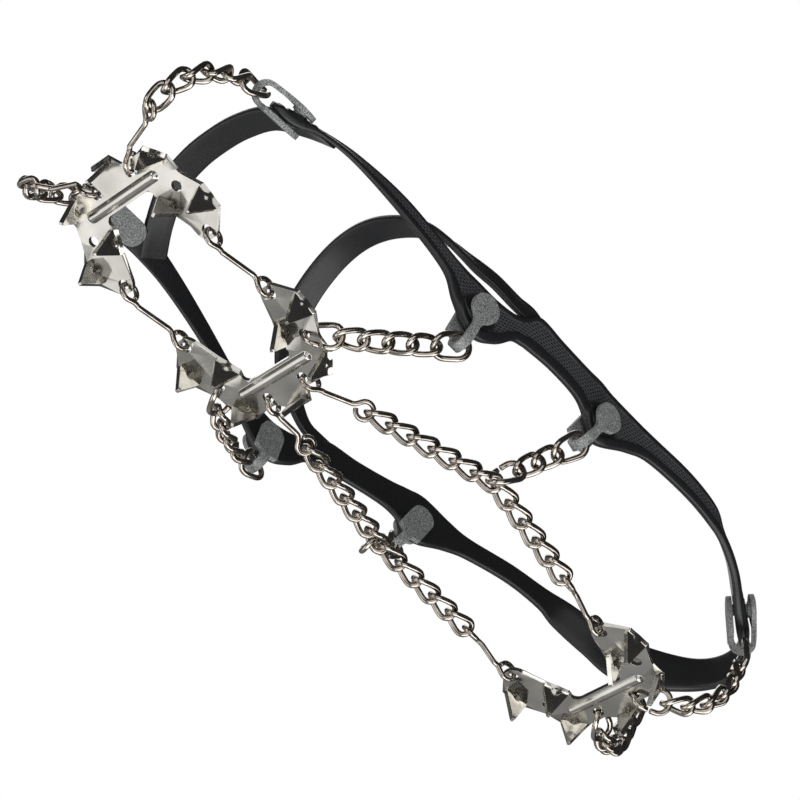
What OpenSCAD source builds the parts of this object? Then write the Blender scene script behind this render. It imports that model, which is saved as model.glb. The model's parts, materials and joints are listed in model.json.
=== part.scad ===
// Ice cleat for a shoe: elastic harness, three spiked plates, curb chain, wire links and hook clips.
// Frame: X to the toe, Y to the wearer's left, Z up. Origin on the tread plane, midway along the shoe.

/* [Layout] */
// Ball plate rib centre, forward of the origin
ball_x = 52; // [46:0.5:58]
// Ball plate underside height at its rib
ball_z = 0; // [-2:0.5:2]
// Ball plate pitch, arms end up
ball_pitch = 7; // [4:0.5:10]
// Toe plate rib centre, forward of the origin
toe_x = 126.6; // [122:0.2:131]
// Toe plate underside height at its rib
toe_z = 10; // [8:0.5:12]
// Toe plate pitch, front end up
toe_pitch = 16.3; // [12:0.1:20]
// Heel plate rib centre, from the origin
heel_x = -107.7; // [-114:0.1:-102]
// Heel plate underside height at its rib
heel_z = 1.7; // [0:0.1:4]
// Heel plate pitch, back end up when negative
heel_pitch = -6.9; // [-10:0.1:-4]
// Arch chain junction, from the origin
fork_x = -23.0; // [-26:0.2:-20]
// Arch chain junction, out from the middle
fork_y = 27.4; // [24:0.2:30]
// Arch chain junction height
fork_z = 7; // [5:0.5:9]
// Toe wire link far eye, forward of the origin
toe_eye_x = 144.5; // [141:0.5:148]
// Toe wire link far eye, out from the middle
toe_eye_y = 30.5; // [28:0.5:33]
// Toe wire link far eye height
toe_eye_z = 17.2; // [15.5:0.1:19]

/* [Plates] */
// Sheet thickness
plate_t = 1.6; // [1.2:0.1:2]
// Chain hole diameter
hole_d = 3.8; // [3.4:0.1:4.4]
// Length of the pressed rib
rib_len = 34.6; // [28:0.2:38]
// Diameter of the pressed rib
rib_d = 4; // [3.4:0.1:4.6]
// Close hole pair, distance behind the rib
base_hole_x = 5.2; // [4.6:0.1:6]
// Close hole pair, half spacing
base_hole_y = 8.4; // [7.4:0.1:9.4]
// Side holes, distance ahead of the rib
side_hole_x = 6.6; // [6:0.1:7.4]
// Side holes, half spacing
side_hole_y = 20.8; // [19.5:0.1:22]
// Arm end holes, distance ahead of the rib
arm_hole_x = 23.3; // [21.5:0.1:25]
// Arm end holes, half spacing
arm_hole_y = 20.9; // [19.5:0.1:22.5]
// Spike height below the sheet
spike_h = 10; // [7:0.5:13]
// Spike width at the fold
spike_w = 9; // [7:0.2:10]
// Spike lean away from the plate
spike_splay = 8; // [0:1:15]

/* [Wire links] */
// Wire diameter of the long links
rod_d = 1.9; // [1.5:0.1:2.2]
// Eye diameter on the wire centreline
eye_d = 5.6; // [5.2:0.1:6.4]
// Half of the angle that the forefoot flexes at each row of eyes
flex_half = 6; // [3:0.5:8]

/* [Chain] */
// Chain wire diameter
wire_d = 2.1; // [1.9:0.1:2.2]
// Outside length of a curb link
link_len = 12.5; // [12.3:0.1:12.9]
// Outside width of a curb link
link_w = 8.1; // [7.9:0.1:8.5]
// Outside length of a joining link
big_len = 14.6; // [14.4:0.1:15]
// Outside width of a joining link
big_w = 10.2; // [10:0.1:10.6]
// Play of a chain end on its clip
hook_play = 0.7; // [0.5:0.1:0.9]
// Play of the branch chain on the arch chain
fork_play = 0.5; // [0.4:0.1:0.7]
// Shift of the branch chain along the link that it hangs on
fork_shift = 1.2; // [1.1:0.1:1.4]
// Lean of that joining link, as a slope
fork_lean = 0.4; // [0.36:0.02:0.46]
// Least slack of each link in a run
link_slack = 0.15; // [0.1:0.01:0.4]
// Cut in the joining links
link_cut = 1.2; // [0.6:0.1:2]
// Twist of each curb link end
link_twist = 45; // [35:1:50]

/* [Clips] */
// Head diameter
head_d = 10.6; // [9.4:0.1:11.4]
// Sheet thickness of the clip
clip_t = 1.7; // [1.3:0.1:2]
// Stud diameter through the harness
stud_d = 4; // [3.4:0.1:4.6]
// Stud centre to the centre of the bend
clip_drop = 12; // [11.4:0.1:13]
// Width of the front leg and of the bend
leg_w = 3.6; // [3.2:0.1:4.2]
// Width of the back leg
back_leg_w = 9.6; // [8:0.1:10.5]
// Space from the harness to the front leg
clip_gap_out = 1.6; // [1.3:0.1:2.2]
// Space from the harness to the back leg
clip_gap_in = 0.8; // [0.6:0.1:1.2]
// Toe clip stud, forward of the origin
toe_clip_x = 104.9; // [102:0.1:108]
// Toe clip stud, out from the middle
toe_clip_y = 41.6; // [40:0.2:43]
// Toe clip stud height
toe_clip_z = 46.6; // [45:0.2:48]
// Front clip stud, forward of the origin
front_clip_x = 22.1; // [19:0.1:25]
// Front clip stud, out from the middle
front_clip_y = 52; // [50.5:0.5:53.5]
// Front clip stud height
front_clip_z = 31.1; // [29.5:0.1:32.5]
// Rear clip stud, from the origin
rear_clip_x = -39.2; // [-42:0.1:-37]
// Rear clip stud, out from the middle
rear_clip_y = 44.6; // [43:0.2:46]
// Rear clip stud height
rear_clip_z = 45.4; // [44.4:0.1:46.4]
// Heel clip stud, from the origin
heel_clip_x = -129.3; // [-132:0.1:-127]
// Heel clip stud, out from the middle
heel_clip_y = 25.9; // [24.5:0.1:27.5]
// Heel clip stud height
heel_clip_z = 51.2; // [50:0.2:52.6]

/* [Harness] */
// Band thickness
band_t = 3.6; // [2.8:0.1:4]
// Edge chamfer of the band
band_edge = 1; // [0.6:0.1:1.3]
// Width below each stud to the end of the tab
tab_len = 8.4; // [7.4:0.1:9]
// Play of the stud in its eyelet, each side
eyelet_play = 0.08; // [0.05:0.01:0.1]
// Height of the raised rim round an eyelet
boss_h = 0.8; // [0.4:0.1:1]
// Width of the raised rim round an eyelet
boss_w = 1.6; // [1:0.1:2]
// Height of the toe strap over the tread plane
toe_strap_z = 62.5; // [58:0.5:68]
// Height of the instep strap over the tread plane
instep_z = 77.5; // [74:0.5:84]
// Half width of both straps
strap_half = 4.8; // [3.8:0.1:5.4]

/* [Hidden] */

steel = [0.78, 0.78, 0.76];
chain_grey = [0.62, 0.6, 0.57];
clip_grey = [0.4, 0.4, 0.4];
rubber = [0.07, 0.07, 0.08];

up = [0, 0, 1];
eye_r = eye_d / 2;
pitch_std = link_len - 2 * wire_d;
pitch_big = big_len - 2 * wire_d;
hook = (rod_d + wire_d) / 2 + 0.1;
face_out = band_t / 2 + clip_gap_out;
face_in = -band_t / 2 - clip_gap_in;
bend_r = (face_out - face_in) / 2;
bend_z = (face_out + face_in) / 2;

// Vector and placing functions
function unit(v) = v / norm(v);
function mix(a, b, t) = a + (b - a) * t;
function across(u, ref) = unit(cross(ref, u));
function place(o, x, y, z) = [
    [x[0], y[0], z[0], o[0]],
    [x[1], y[1], z[1], o[1]],
    [x[2], y[2], z[2], o[2]],
    [0, 0, 0, 1]];
function bend(a, b, c, t) = (1 - t) * (1 - t) * a + 2 * t * (1 - t) * b + t * t * c;

// Holes of the plates in the shared frame, at half the sheet thickness
function plate_pt(x0, z0, pitch, way, px, py) = [
    x0 + way * px * cos(pitch) - plate_t / 2 * sin(pitch),
    py,
    z0 + way * px * sin(pitch) + plate_t / 2 * cos(pitch)];
function plate_up(pitch) = [-sin(pitch), 0, cos(pitch)];
toe_base = plate_pt(toe_x, toe_z, toe_pitch, -1, -base_hole_x, base_hole_y);
toe_arm = plate_pt(toe_x, toe_z, toe_pitch, -1, arm_hole_x, arm_hole_y);
ball_arm = plate_pt(ball_x, ball_z, ball_pitch, 1, arm_hole_x, arm_hole_y);
ball_side = plate_pt(ball_x, ball_z, ball_pitch, 1, side_hole_x, side_hole_y);
ball_base = plate_pt(ball_x, ball_z, ball_pitch, 1, -base_hole_x, base_hole_y);
heel_arm = plate_pt(heel_x, heel_z, heel_pitch, 1, arm_hole_x, arm_hole_y);
heel_base = plate_pt(heel_x, heel_z, heel_pitch, 1, -base_hole_x, base_hole_y);
fork = [fork_x, fork_y, fork_z];
toe_eye = [toe_eye_x, toe_eye_y, toe_eye_z];

// Clips: stud point, facing azimuth, face-down tilt and swing of the legs
toe_stud = [toe_clip_x, toe_clip_y, toe_clip_z];
front_stud = [front_clip_x, front_clip_y, front_clip_z];
rear_stud = [rear_clip_x, rear_clip_y, rear_clip_z];
heel_stud = [heel_clip_x, heel_clip_y, heel_clip_z];
toe_face = [86, -42, -86];
front_face = [90, 10, 0];
rear_face = [94, 5, -14];
heel_face = [134, -18.5, 18];
function out_dir(f) = [cos(f[0]) * cos(f[1]), sin(f[0]) * cos(f[1]), -sin(f[1])];
function fall_dir(f) = [-cos(f[0]) * sin(f[1]), -sin(f[0]) * sin(f[1]), -cos(f[1])];
function leg_dir(f) = cos(f[2]) * fall_dir(f) + sin(f[2]) * cross(out_dir(f), fall_dir(f));
function bend_pt(s, f) = s + (clip_drop + bend_r + clip_t / 2) * leg_dir(f) + bend_z * out_dir(f);
big_in = big_w / 2 - wire_d;
nest = big_in - sqrt(big_in * big_in - leg_w * leg_w / 4);
function past_leg(u, f) = (leg_w * abs(u * cross(out_dir(f), leg_dir(f))) + clip_t * abs(u * leg_dir(f))) / 2
    + wire_d / 2 + nest + hook_play;
function hooked(m, p, f) = p + past_leg(unit(p - m), f) * unit(p - m);
toe_bend = bend_pt(toe_stud, toe_face);
front_bend = bend_pt(front_stud, front_face);
rear_bend = bend_pt(rear_stud, rear_face);
heel_bend = bend_pt(heel_stud, heel_face);

// Wire links that end in a chain: their length is what the chain links leave over
arch_n = 6;
rear_n = 5;
arch_u = unit(fork - ball_base);
rear_u = unit(fork - heel_arm);
arch_eye = fork - arch_u * (arch_n * (pitch_std - link_slack) - hook);
rear_eye = fork - rear_u * (rear_n * (pitch_std - link_slack) - hook);
toe_u = unit(toe_eye - toe_base);

// Stamped plate, arms along +X, spikes down, underside at z = 0
function side_outline() = [
    [2.8, 9.6],
    [4.4, 11.4],
    [6.2, 12.2],
    [14.2, 15.8],
    [arm_hole_x + 1, arm_hole_y - 3.8],
    [arm_hole_x + 3.1, arm_hole_y - 2],
    [arm_hole_x + 3.1, arm_hole_y + 2.2],
    [19.4, arm_hole_y + 6.9],
    [10.6, arm_hole_y + 6.5],
    [side_hole_x - 3, side_hole_y + 3.8],
    [-1.2, 22.6],
    [-8, 16.2],
    [-base_hole_x - 3.2, base_hole_y + 2.6],
    [-base_hole_x - 3.2, base_hole_y - 1.2],
    [-10.8, 5]];
function flip(pts) = [for (i = [len(pts) - 1:-1:0]) [pts[i][0], -pts[i][1]]];

module spike(a, b) {
    // Fold line from a to b, metal on the left hand of that line
    turn = atan2(b[1] - a[1], b[0] - a[0]) - 90;
    translate([(a[0] + b[0]) / 2, (a[1] + b[1]) / 2, plate_t])
        rotate([0, 0, turn])
            rotate([0, -spike_splay, 0])
                translate([-plate_t, 0, 0])
                    rotate([90, 0, 90])
                        linear_extrude(plate_t)
                            polygon([[-spike_w / 2, 0], [spike_w / 2, 0], [0, -plate_t - spike_h]]);
}

module rib(d) {
    rotate([90, 0, 0])
        cylinder(d = d, h = rib_len - rib_d, center = true, $fn = 40);
    for (s = [-1, 1])
        translate([0, s * (rib_len - rib_d) / 2, 0])
            sphere(d = d, $fn = 40);
}

module side_spikes() {
    pts = side_outline();
    spike(pts[3], pts[2]);
    spike(pts[8], pts[7]);
    spike(pts[11], pts[10]);
}

module spiked_plate() {
    pts = side_outline();
    difference() {
        union() {
            linear_extrude(plate_t)
                polygon(concat(pts, flip(pts)));
            side_spikes();
            mirror([0, 1, 0])
                side_spikes();
            spike([-10.8, -5], [-10.8, 5]);
            translate([0, 0, plate_t / 2])
                rib(rib_d);
        }
        translate([0, 0, plate_t])
            rib(rib_d / 2);
        translate([-40, -40, plate_t])
            cube([80, 80, rib_d]);
        for (s = [-1, 1]) {
            translate([-base_hole_x, s * base_hole_y, -2])
                cylinder(d = hole_d, h = plate_t + 4, $fn = 40);
            translate([side_hole_x, s * side_hole_y, -2])
                cylinder(d = hole_d, h = plate_t + 4, $fn = 40);
            translate([arm_hole_x, s * arm_hole_y, -2])
                cylinder(d = hole_d, h = plate_t + 4, $fn = 40);
        }
    }
}

module plate_at(x0, z0, pitch, way) {
    color(steel)
        translate([x0, 0, z0])
            rotate([0, -pitch, 0])
                rotate([0, 0, way > 0 ? 0 : 180])
                    spiked_plate();
}

// Wire link with an eye through a and an eye through b; the eyes stand on the directions na and nb
module eye(p, u, n) {
    v = unit(n - (n * u) * u);
    multmatrix(place(p + u * eye_r, -v, u, cross(u, v)))
        rotate_extrude($fn = 48)
            translate([eye_r, 0])
                circle(d = rod_d, $fn = 24);
}

// Direction u laid into a sheet whose face points along n
function in_sheet(u, n) = unit(u - (u * n) * n);

module wire_link(a, b, ua, ub, na, nb) {
    p = a + 2 * eye_r * ua;
    q = b + 2 * eye_r * ub;
    u = unit(q - p);
    v = across(u, up);
    color(chain_grey) {
        eye(a, ua, na);
        eye(b, ub, nb);
        multmatrix(place(p, v, cross(u, v), u))
            cylinder(d = rod_d, h = norm(q - p), $fn = 24);
    }
}

// Curb link: an oval of wire, turned from angle t0 at its start to t1 at its end
function oval(a, r, cut) = concat(
    cut > 0 ? [[-cut / 2, r]] : [],
    [for (t = [90:36:270]) [-(a - r) + r * cos(t), r * sin(t)]],
    [[0, -r]],
    [for (t = [-90:36:90]) [a - r + r * cos(t), r * sin(t)]],
    cut > 0 ? [[cut / 2, r]] : [[0, r]]);
function turned(p, a, t0, t1) =
    let (f = mix(t0, t1, (p[0] + a) / (2 * a)))
    [p[0], p[1] * cos(f), p[1] * sin(f)];

module wire_oval(len_out, w_out, t0, t1, cut) {
    a = (len_out - wire_d) / 2;
    r = (w_out - wire_d) / 2;
    flat = oval(a, r, cut);
    n = len(flat);
    sides = 6;
    path = [for (p = flat) turned(p, a, t0, t1)];
    rings = [for (i = [0:n - 1])
        let (
            before = cut > 0 ? path[max(i - 1, 0)] : path[(i + n - 1) % n],
            after = cut > 0 ? path[min(i + 1, n - 1)] : path[(i + 1) % n],
            t = unit(after - before),
            f = mix(t0, t1, (path[i][0] + a) / (2 * a)),
            k = [0, -sin(f), cos(f)],
            e = unit(k - (k * t) * t),
            g = cross(t, e))
        for (j = [0:sides - 1])
            path[i] + wire_d / 2 * (cos(j * 360 / sides) * e + sin(j * 360 / sides) * g)];
    last = cut > 0 ? n - 2 : n - 1;
    walls = [for (i = [0:last]) for (j = [0:sides - 1])
        let (
            p = i * sides + j,
            q = i * sides + (j + 1) % sides,
            r2 = ((i + 1) % n) * sides + (j + 1) % sides,
            s = ((i + 1) % n) * sides + j)
        each [[p, s, r2], [p, r2, q]]];
    ends = cut > 0 ? [[for (j = [0:sides - 1]) j], [for (j = [sides - 1:-1:0]) (n - 1) * sides + j]] : [];
    polyhedron(rings, concat(walls, ends));
}

// Chain run on the curve a-m-c: hook points, with as many links as the run needs
function lengths(a, m, c) =
    [for (i = 0, s = 0; i <= 40; s = s + norm(bend(a, m, c, (i + 1) / 40) - bend(a, m, c, i / 40)), i = i + 1)
        [s, i / 40]];
function hooks(a, m, c, first, last) =
    let (
        table = lengths(a, m, c),
        total = table[40][0],
        s0 = wire_d / 2,
        s1 = first ? s0 + pitch_big : s0,
        e0 = total - wire_d / 2,
        e1 = last ? e0 - pitch_big : e0,
        k = max(1, ceil((e1 - s1) / (pitch_std - link_slack))),
        marks = concat(first ? [s0] : [], [for (i = [0:k]) mix(s1, e1, i / k)], last ? [e0] : []))
    [for (s = marks) bend(a, m, c, lookup(s, table))];

// Cross direction carried along the run without twist, and the twist still missing at its end
function carried(u, v, i) = i == 0 ? v : let (w = carried(u, v, i - 1)) unit(w - (w * u[i]) * u[i]);
function angle_to(v, w, u) = atan2(cross(v, w) * u, v * w);
function half_turn(a) = a > 90 ? a - 180 : a < -90 ? a + 180 : a;

module chain(a, m, c, first, last, up0, up1, hand, spin = 0) {
    twist = hand * link_twist;
    p = hooks(a, m, c, first, last);
    n = len(p) - 1;
    us = [for (i = [0:n - 1]) unit(p[i + 1] - p[i])];
    vs = [for (i = [0:n - 1]) carried(us, across(us[0], up0), i)];
    extra = spin + half_turn(angle_to(vs[n - 1], across(us[n - 1], up1), us[n - 1]));
    color(chain_grey)
        for (i = [0:n - 1]) {
            u = us[i];
            g = extra * i / (n - 1);
            v = cos(g) * vs[i] + sin(g) * cross(u, vs[i]);
            multmatrix(place((p[i] + p[i + 1]) / 2, u, v, cross(u, v))) {
                if (i == 0 && first)
                    wire_oval(big_len, big_w, 90 * hand, twist, link_cut);
                else if (i == n - 1 && last)
                    wire_oval(big_len, big_w, -twist, 0, 0);
                else
                    wire_oval(link_len, link_w, -twist, twist, 0);
            }
        }
}

// Hook clip in its own frame: stud along Z, legs towards -Y
module hook_clip() {
    color(clip_grey) {
        translate([0, 0, face_out])
            cylinder(d = head_d, h = clip_t, $fn = 48);
        translate([0, 0, face_out])
            linear_extrude(clip_t)
                polygon([[-leg_w / 2, -clip_drop], [leg_w / 2, -clip_drop],
                    [leg_w / 2, -head_d * 0.64], [head_d * 0.37, -head_d * 0.33],
                    [-head_d * 0.37, -head_d * 0.33], [-leg_w / 2, -head_d * 0.64]]);
        translate([0, -clip_drop, bend_z])
            rotate([180, 0, 0])
                rotate([0, 90, 0])
                    rotate_extrude(angle = 180, $fn = 64)
                        translate([bend_r, -leg_w / 2])
                            square([clip_t, leg_w]);
        translate([0, 0, face_in - clip_t])
            linear_extrude(clip_t)
                polygon([[-leg_w / 2, -clip_drop], [leg_w / 2, -clip_drop],
                    [back_leg_w / 2, -clip_drop + 1.6], [back_leg_w / 2, 0],
                    [-back_leg_w / 2, 0], [-back_leg_w / 2, -clip_drop + 1.6]]);
        translate([0, 0, face_in - clip_t])
            cylinder(d = back_leg_w, h = clip_t, $fn = 48);
        translate([0, 0, face_in - clip_t / 2])
            cylinder(d = stud_d, h = face_out - face_in + clip_t, $fn = 40);
    }
}

module clip_at(s, f) {
    multmatrix(place(s, cross(-leg_dir(f), out_dir(f)), -leg_dir(f), out_dir(f)))
        hook_clip();
}

// Harness band: stations of x, y, z, width above, width below, face-down tilt and share of the thickness
stations = [
    [heel_clip_x - 21.2, 0, heel_clip_z + 3.4, 6.5, 6, -14, 1],
    [heel_clip_x - 16.4, heel_clip_y - 12.6, heel_clip_z + 2.6, 6.6, 6.2, -16, 1],
    [heel_clip_x, heel_clip_y, heel_clip_z, 7.6, tab_len, heel_face[1], 1],
    [heel_clip_x + 13.3, heel_clip_y + 8, heel_clip_z + 3.6, 6.2, 6.4, -27, 0.85],
    [-104, 38.3, 57.6, 5.2, 5.4, -28, 0.85],
    [-95, 40.6, 59, 4.3, 4.3, -5, 0.8],
    [-80, 42.6, 58.6, 3.9, 4.5, 6, 0.8],
    [rear_clip_x - 22.8, rear_clip_y, rear_clip_z + 8.8, 4.9, 4.2, 8, 0.8],
    [rear_clip_x - 13, rear_clip_y + 0.3, rear_clip_z + 6.4, 6.5, 6.7, 7, 0.85],
    [rear_clip_x, rear_clip_y + 0.4, rear_clip_z + 4.4, 8.3, tab_len + 4.4, rear_face[1], 1],
    [rear_clip_x + 7, rear_clip_y + 1.8, rear_clip_z + 3.6, 8.2, 7.6, 5.5, 0.85],
    [rear_clip_x + 14, rear_clip_y + 3.2, rear_clip_z + 3, 7.1, 5.3, 6, 0.8],
    [-12, 50, 47.2, 6, 5.8, 8, 0.8],
    [-1, 51.3, 45.4, 6.7, 6.6, 9, 0.8],
    [4, 51.7, 43.8, 3.4, 6.6, 9.2, 0.82],
    [9, 51.9, 41.6, 2.3, 7, 9.5, 0.85],
    [front_clip_x - 6.5, front_clip_y + 0.4, front_clip_z + 6.6, 3.8, 10.6, 10, 0.9],
    [front_clip_x, front_clip_y + 0.7, front_clip_z + 4.3, 4.9, tab_len + 4.3, front_face[1], 1],
    [front_clip_x + 7, front_clip_y + 0.6, front_clip_z + 4.6, 5.1, 8.3, 8, 0.85],
    [front_clip_x + 17, front_clip_y + 0.2, front_clip_z + 7.8, 3.3, 3.7, 6, 0.75],
    [62, 49.8, 45.3, 3.9, 3.2, -6, 0.6],
    [82, 46.8, 49, 3.9, 3.6, -28, 0.5],
    [toe_clip_x - 9, toe_clip_y + 2.4, toe_clip_z + 2.2, 4.6, 4.4, -40, 0.5],
    [toe_clip_x, toe_clip_y, toe_clip_z, 5, 4.8, toe_face[1], 1],
    [toe_clip_x + tab_len * 0.76, toe_clip_y - 0.6, toe_clip_z - 0.6, 4.2, 4.2, toe_face[1], 0.7],
    [toe_clip_x + tab_len, toe_clip_y - 0.8, toe_clip_z - 0.8, 2.6, 2.6, toe_face[1], 0.55]];
toe_rise = toe_strap_z - toe_clip_z;
toe_strap = [
    [toe_clip_x - 13, toe_clip_y + 3, toe_clip_z + 2, strap_half, strap_half, -36, 0.6],
    [toe_clip_x - 6, toe_clip_y * 0.87, toe_clip_z + 0.45 * toe_rise, strap_half, strap_half, -48, 0.68],
    [toe_clip_x + 0.5, toe_clip_y * 0.6, toe_clip_z + 0.82 * toe_rise, strap_half, strap_half, -68, 0.68],
    [toe_clip_x + 3.2, toe_clip_y * 0.3, toe_strap_z - 0.7, strap_half, strap_half, -82, 0.68],
    [toe_clip_x + 3.8, 0, toe_strap_z, strap_half, strap_half, -90, 0.68]];
instep_strap = [
    [-8, 50.1, front_clip_z + 17.7, strap_half - 2.6, strap_half - 2.6, 8, 0.4],
    [3, 52.2, front_clip_z + 18.2, strap_half - 1.8, strap_half - 1.8, 9, 0.66],
    [11, 51.8, front_clip_z + 18.3, strap_half - 2, strap_half - 2, 5, 0.68],
    [19, 49.9, mix(front_clip_z, instep_z, 0.45), strap_half - 1.5, strap_half - 1.5, -5, 0.68],
    [25.5, 47.3, mix(front_clip_z, instep_z, 0.5), strap_half - 0.7, strap_half - 0.7, -13, 0.68],
    [31, 44.4, mix(front_clip_z, instep_z, 0.562), strap_half - 0.5, strap_half - 0.5, -24, 0.68],
    [36, 40.4, mix(front_clip_z, instep_z, 0.65), strap_half - 0.4, strap_half - 0.4, -33, 0.68],
    [40.5, 34.5, mix(front_clip_z, instep_z, 0.752), strap_half, strap_half, -42, 0.68],
    [44.5, 24.5, mix(front_clip_z, instep_z, 0.87), strap_half, strap_half, -56, 0.68],
    [47.3, 12, instep_z - 1.6, strap_half, strap_half, -74, 0.68],
    [48.2, 0, instep_z, strap_half, strap_half, -90, 0.68]];

function other_side(s) = [s[0], -s[1], s[2], s[3], s[4], s[5], s[6]];
function whole(h) = concat([for (i = [len(h) - 1:-1:1]) h[i]], [h[0]],
    [for (i = [1:len(h) - 1]) other_side(h[i])]);
function arch_whole(h) = concat(h, [for (i = [len(h) - 2:-1:0]) other_side(h[i])]);
function smooth(a, b, c, d, t) = 0.5 * ((2 * b) + (c - a) * t + (2 * a - 5 * b + 4 * c - d) * t * t
    + (3 * b - a - 3 * c + d) * t * t * t);
function fine(s, k) = concat([for (i = [0:len(s) - 2]) for (j = [0:k - 1])
    smooth(s[max(i - 1, 0)], s[i], s[i + 1], s[min(i + 2, len(s) - 1)], j / k)], [s[len(s) - 1]]);

// Band swept through its stations; on a strap the face turns in the cross plane of the shoe
module swept_band(raw, k, strap) {
    s = fine(raw, k);
    n = len(s);
    rings = [for (i = [0:n - 1])
        let (
            p = [s[i][0], s[i][1], s[i][2]],
            b = s[max(i - 1, 0)],
            f = s[min(i + 1, n - 1)],
            run = unit([f[0] - b[0], f[1] - b[1], f[2] - b[2]]),
            side = strap ? [0, sign(p[1]), 0] : unit(cross(run, up)),
            lean = s[i][5],
            face0 = cos(lean) * side - sin(lean) * up,
            face = unit(face0 - (face0 * run) * run),
            low = cross(run, face),
            a = s[i][3],
            d = s[i][4],
            t = band_t * s[i][6],
            c = min(band_edge, 0.35 * t))
        each [for (q = [[-a + c, t / 2], [d - c, t / 2], [d, t / 2 - c], [d, c - t / 2],
            [d - c, -t / 2], [c - a, -t / 2], [-a, c - t / 2], [-a, t / 2 - c]])
            p + q[0] * low + q[1] * face]];
    walls = [for (i = [0:n - 2]) for (j = [0:7])
        let (p = i * 8 + j, q = i * 8 + (j + 1) % 8)
        each [[p, q + 8, q], [p, p + 8, q + 8]]];
    caps = [[0, 1, 2, 3, 4, 5, 6, 7], [for (j = [7:-1:0]) (n - 1) * 8 + j]];
    polyhedron(rings, concat(walls, caps));
}

module at_studs() {
    for (w = [[toe_stud, toe_face], [front_stud, front_face], [rear_stud, rear_face], [heel_stud, heel_face]])
        for (m = [0, 1])
            mirror([0, m, 0])
                multmatrix(place(w[0], cross(-leg_dir(w[1]), out_dir(w[1])), -leg_dir(w[1]), out_dir(w[1])))
                    children();
}

module harness() {
    color(rubber)
        difference() {
            union() {
                swept_band(whole(stations), 3, false);
                swept_band(arch_whole(toe_strap), 3, true);
                swept_band(arch_whole(instep_strap), 3, true);
                at_studs()
                    cylinder(d = stud_d + 2 * eyelet_play + 2 * boss_w, h = band_t / 2 + boss_h, $fn = 28);
            }
            at_studs()
                translate([0, 0, -band_t])
                    cylinder(d = stud_d + 2 * eyelet_play, h = 2 * band_t + boss_h, $fn = 28);
        }
}

module toe_plate() { plate_at(toe_x, toe_z, toe_pitch, -1); }
module ball_plate() { plate_at(ball_x, ball_z, ball_pitch, 1); }
module heel_plate() { plate_at(heel_x, heel_z, heel_pitch, 1); }

module fore_link_left() {
    u = unit(toe_arm - ball_arm);
    wire_link(ball_arm, toe_arm, in_sheet(u, plate_up(ball_pitch - flex_half)),
        in_sheet(-u, plate_up(toe_pitch + flex_half)), up, up);
}
module toe_link_left(hand = -1) {
    v = across(toe_u, up);
    ua = unit([cos(toe_pitch), 0.8, sin(toe_pitch)]);
    wire_link(toe_base, toe_eye, ua, -toe_u, plate_up(toe_pitch), v + hand * cross(toe_u, v));
}
module arch_link_left(hand = -1) {
    v = across(arch_u, up);
    wire_link(ball_base, arch_eye, in_sheet(arch_u, plate_up(ball_pitch)), -arch_u,
        plate_up(ball_pitch), v + hand * cross(arch_u, v));
}
module heel_link_left(hand = -1) {
    v = across(-rear_u, up);
    wire_link(heel_arm, rear_eye, in_sheet(rear_u, plate_up(heel_pitch)), -rear_u,
        plate_up(heel_pitch), v - hand * cross(-rear_u, v));
}

module toe_chain_left(hand = -1) {
    // The twist is of one hand on both sides, so the left run starts lower in its eye and turns the other way
    drop = hand < 0 ? 0.8 : 0;
    a = toe_eye - toe_u * hook - drop * up;
    m = (a + toe_bend) / 2 + [17, 15, -4];
    chain(a, m, hooked(m, toe_bend, toe_face), false, true, up, out_dir(toe_face), hand,
        hand < 0 ? 180 : 0);
}
module side_chain_left(hand = -1) {
    m = (ball_side + front_bend) / 2 + [2.5, 6, -9];
    chain(ball_side, m, hooked(m, front_bend, front_face), true, true,
        plate_up(ball_pitch), -out_dir(front_face), hand);
}
module arch_chain_left(hand = -1) {
    a = arch_eye - arch_u * hook;
    c = fork + arch_u * (wire_d / 2);
    chain(a, (a + c) / 2, c, false, false, up, up, hand);
}
module rear_chain_left(hand = -1) {
    a = fork + rear_u * (wire_d / 2);
    c = rear_eye - rear_u * hook;
    chain(a, (a + c) / 2, c, false, false, up, up, hand);
}
module branch_chain_left(hand = -1) {
    // The joining link goes round the twisted wire on the outer side of the last arch chain link
    shift = hand < 0 ? fork_shift / 4 : fork_shift;
    turn = 2 * hand * link_twist * shift / (link_len - wire_d);
    v = across(arch_u, up);
    w = cross(arch_u, v);
    r = (link_w - wire_d) / 2;
    side = fork - arch_u * (pitch_std / 2 - shift) - r * (cos(turn) * v + sin(turn) * w);
    leg = unit(arch_u + fork_lean * w);
    way = hand < 0 ? in_sheet(rear_bend - side, leg) : unit(rear_bend - side);
    a = side - way * (wire_d + fork_play);
    m = (a + rear_bend) / 2;
    ref = cross(leg, unit(rear_bend - a));
    chain(a, m, hooked(m, rear_bend, rear_face), true, true, ref, -out_dir(rear_face), hand);
}
module heel_chain_left(hand = -1) {
    m = (heel_base + heel_bend) / 2 + [-17, 12, -21];
    chain(heel_base, m, hooked(m, heel_bend, heel_face), true, true,
        plate_up(heel_pitch), -out_dir(heel_face), hand);
}

module toe_clip_left() { clip_at(toe_stud, toe_face); }
module front_clip_left() { clip_at(front_stud, front_face); }
module rear_clip_left() { clip_at(rear_stud, rear_face); }
module heel_clip_left() { clip_at(heel_stud, heel_face); }

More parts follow.
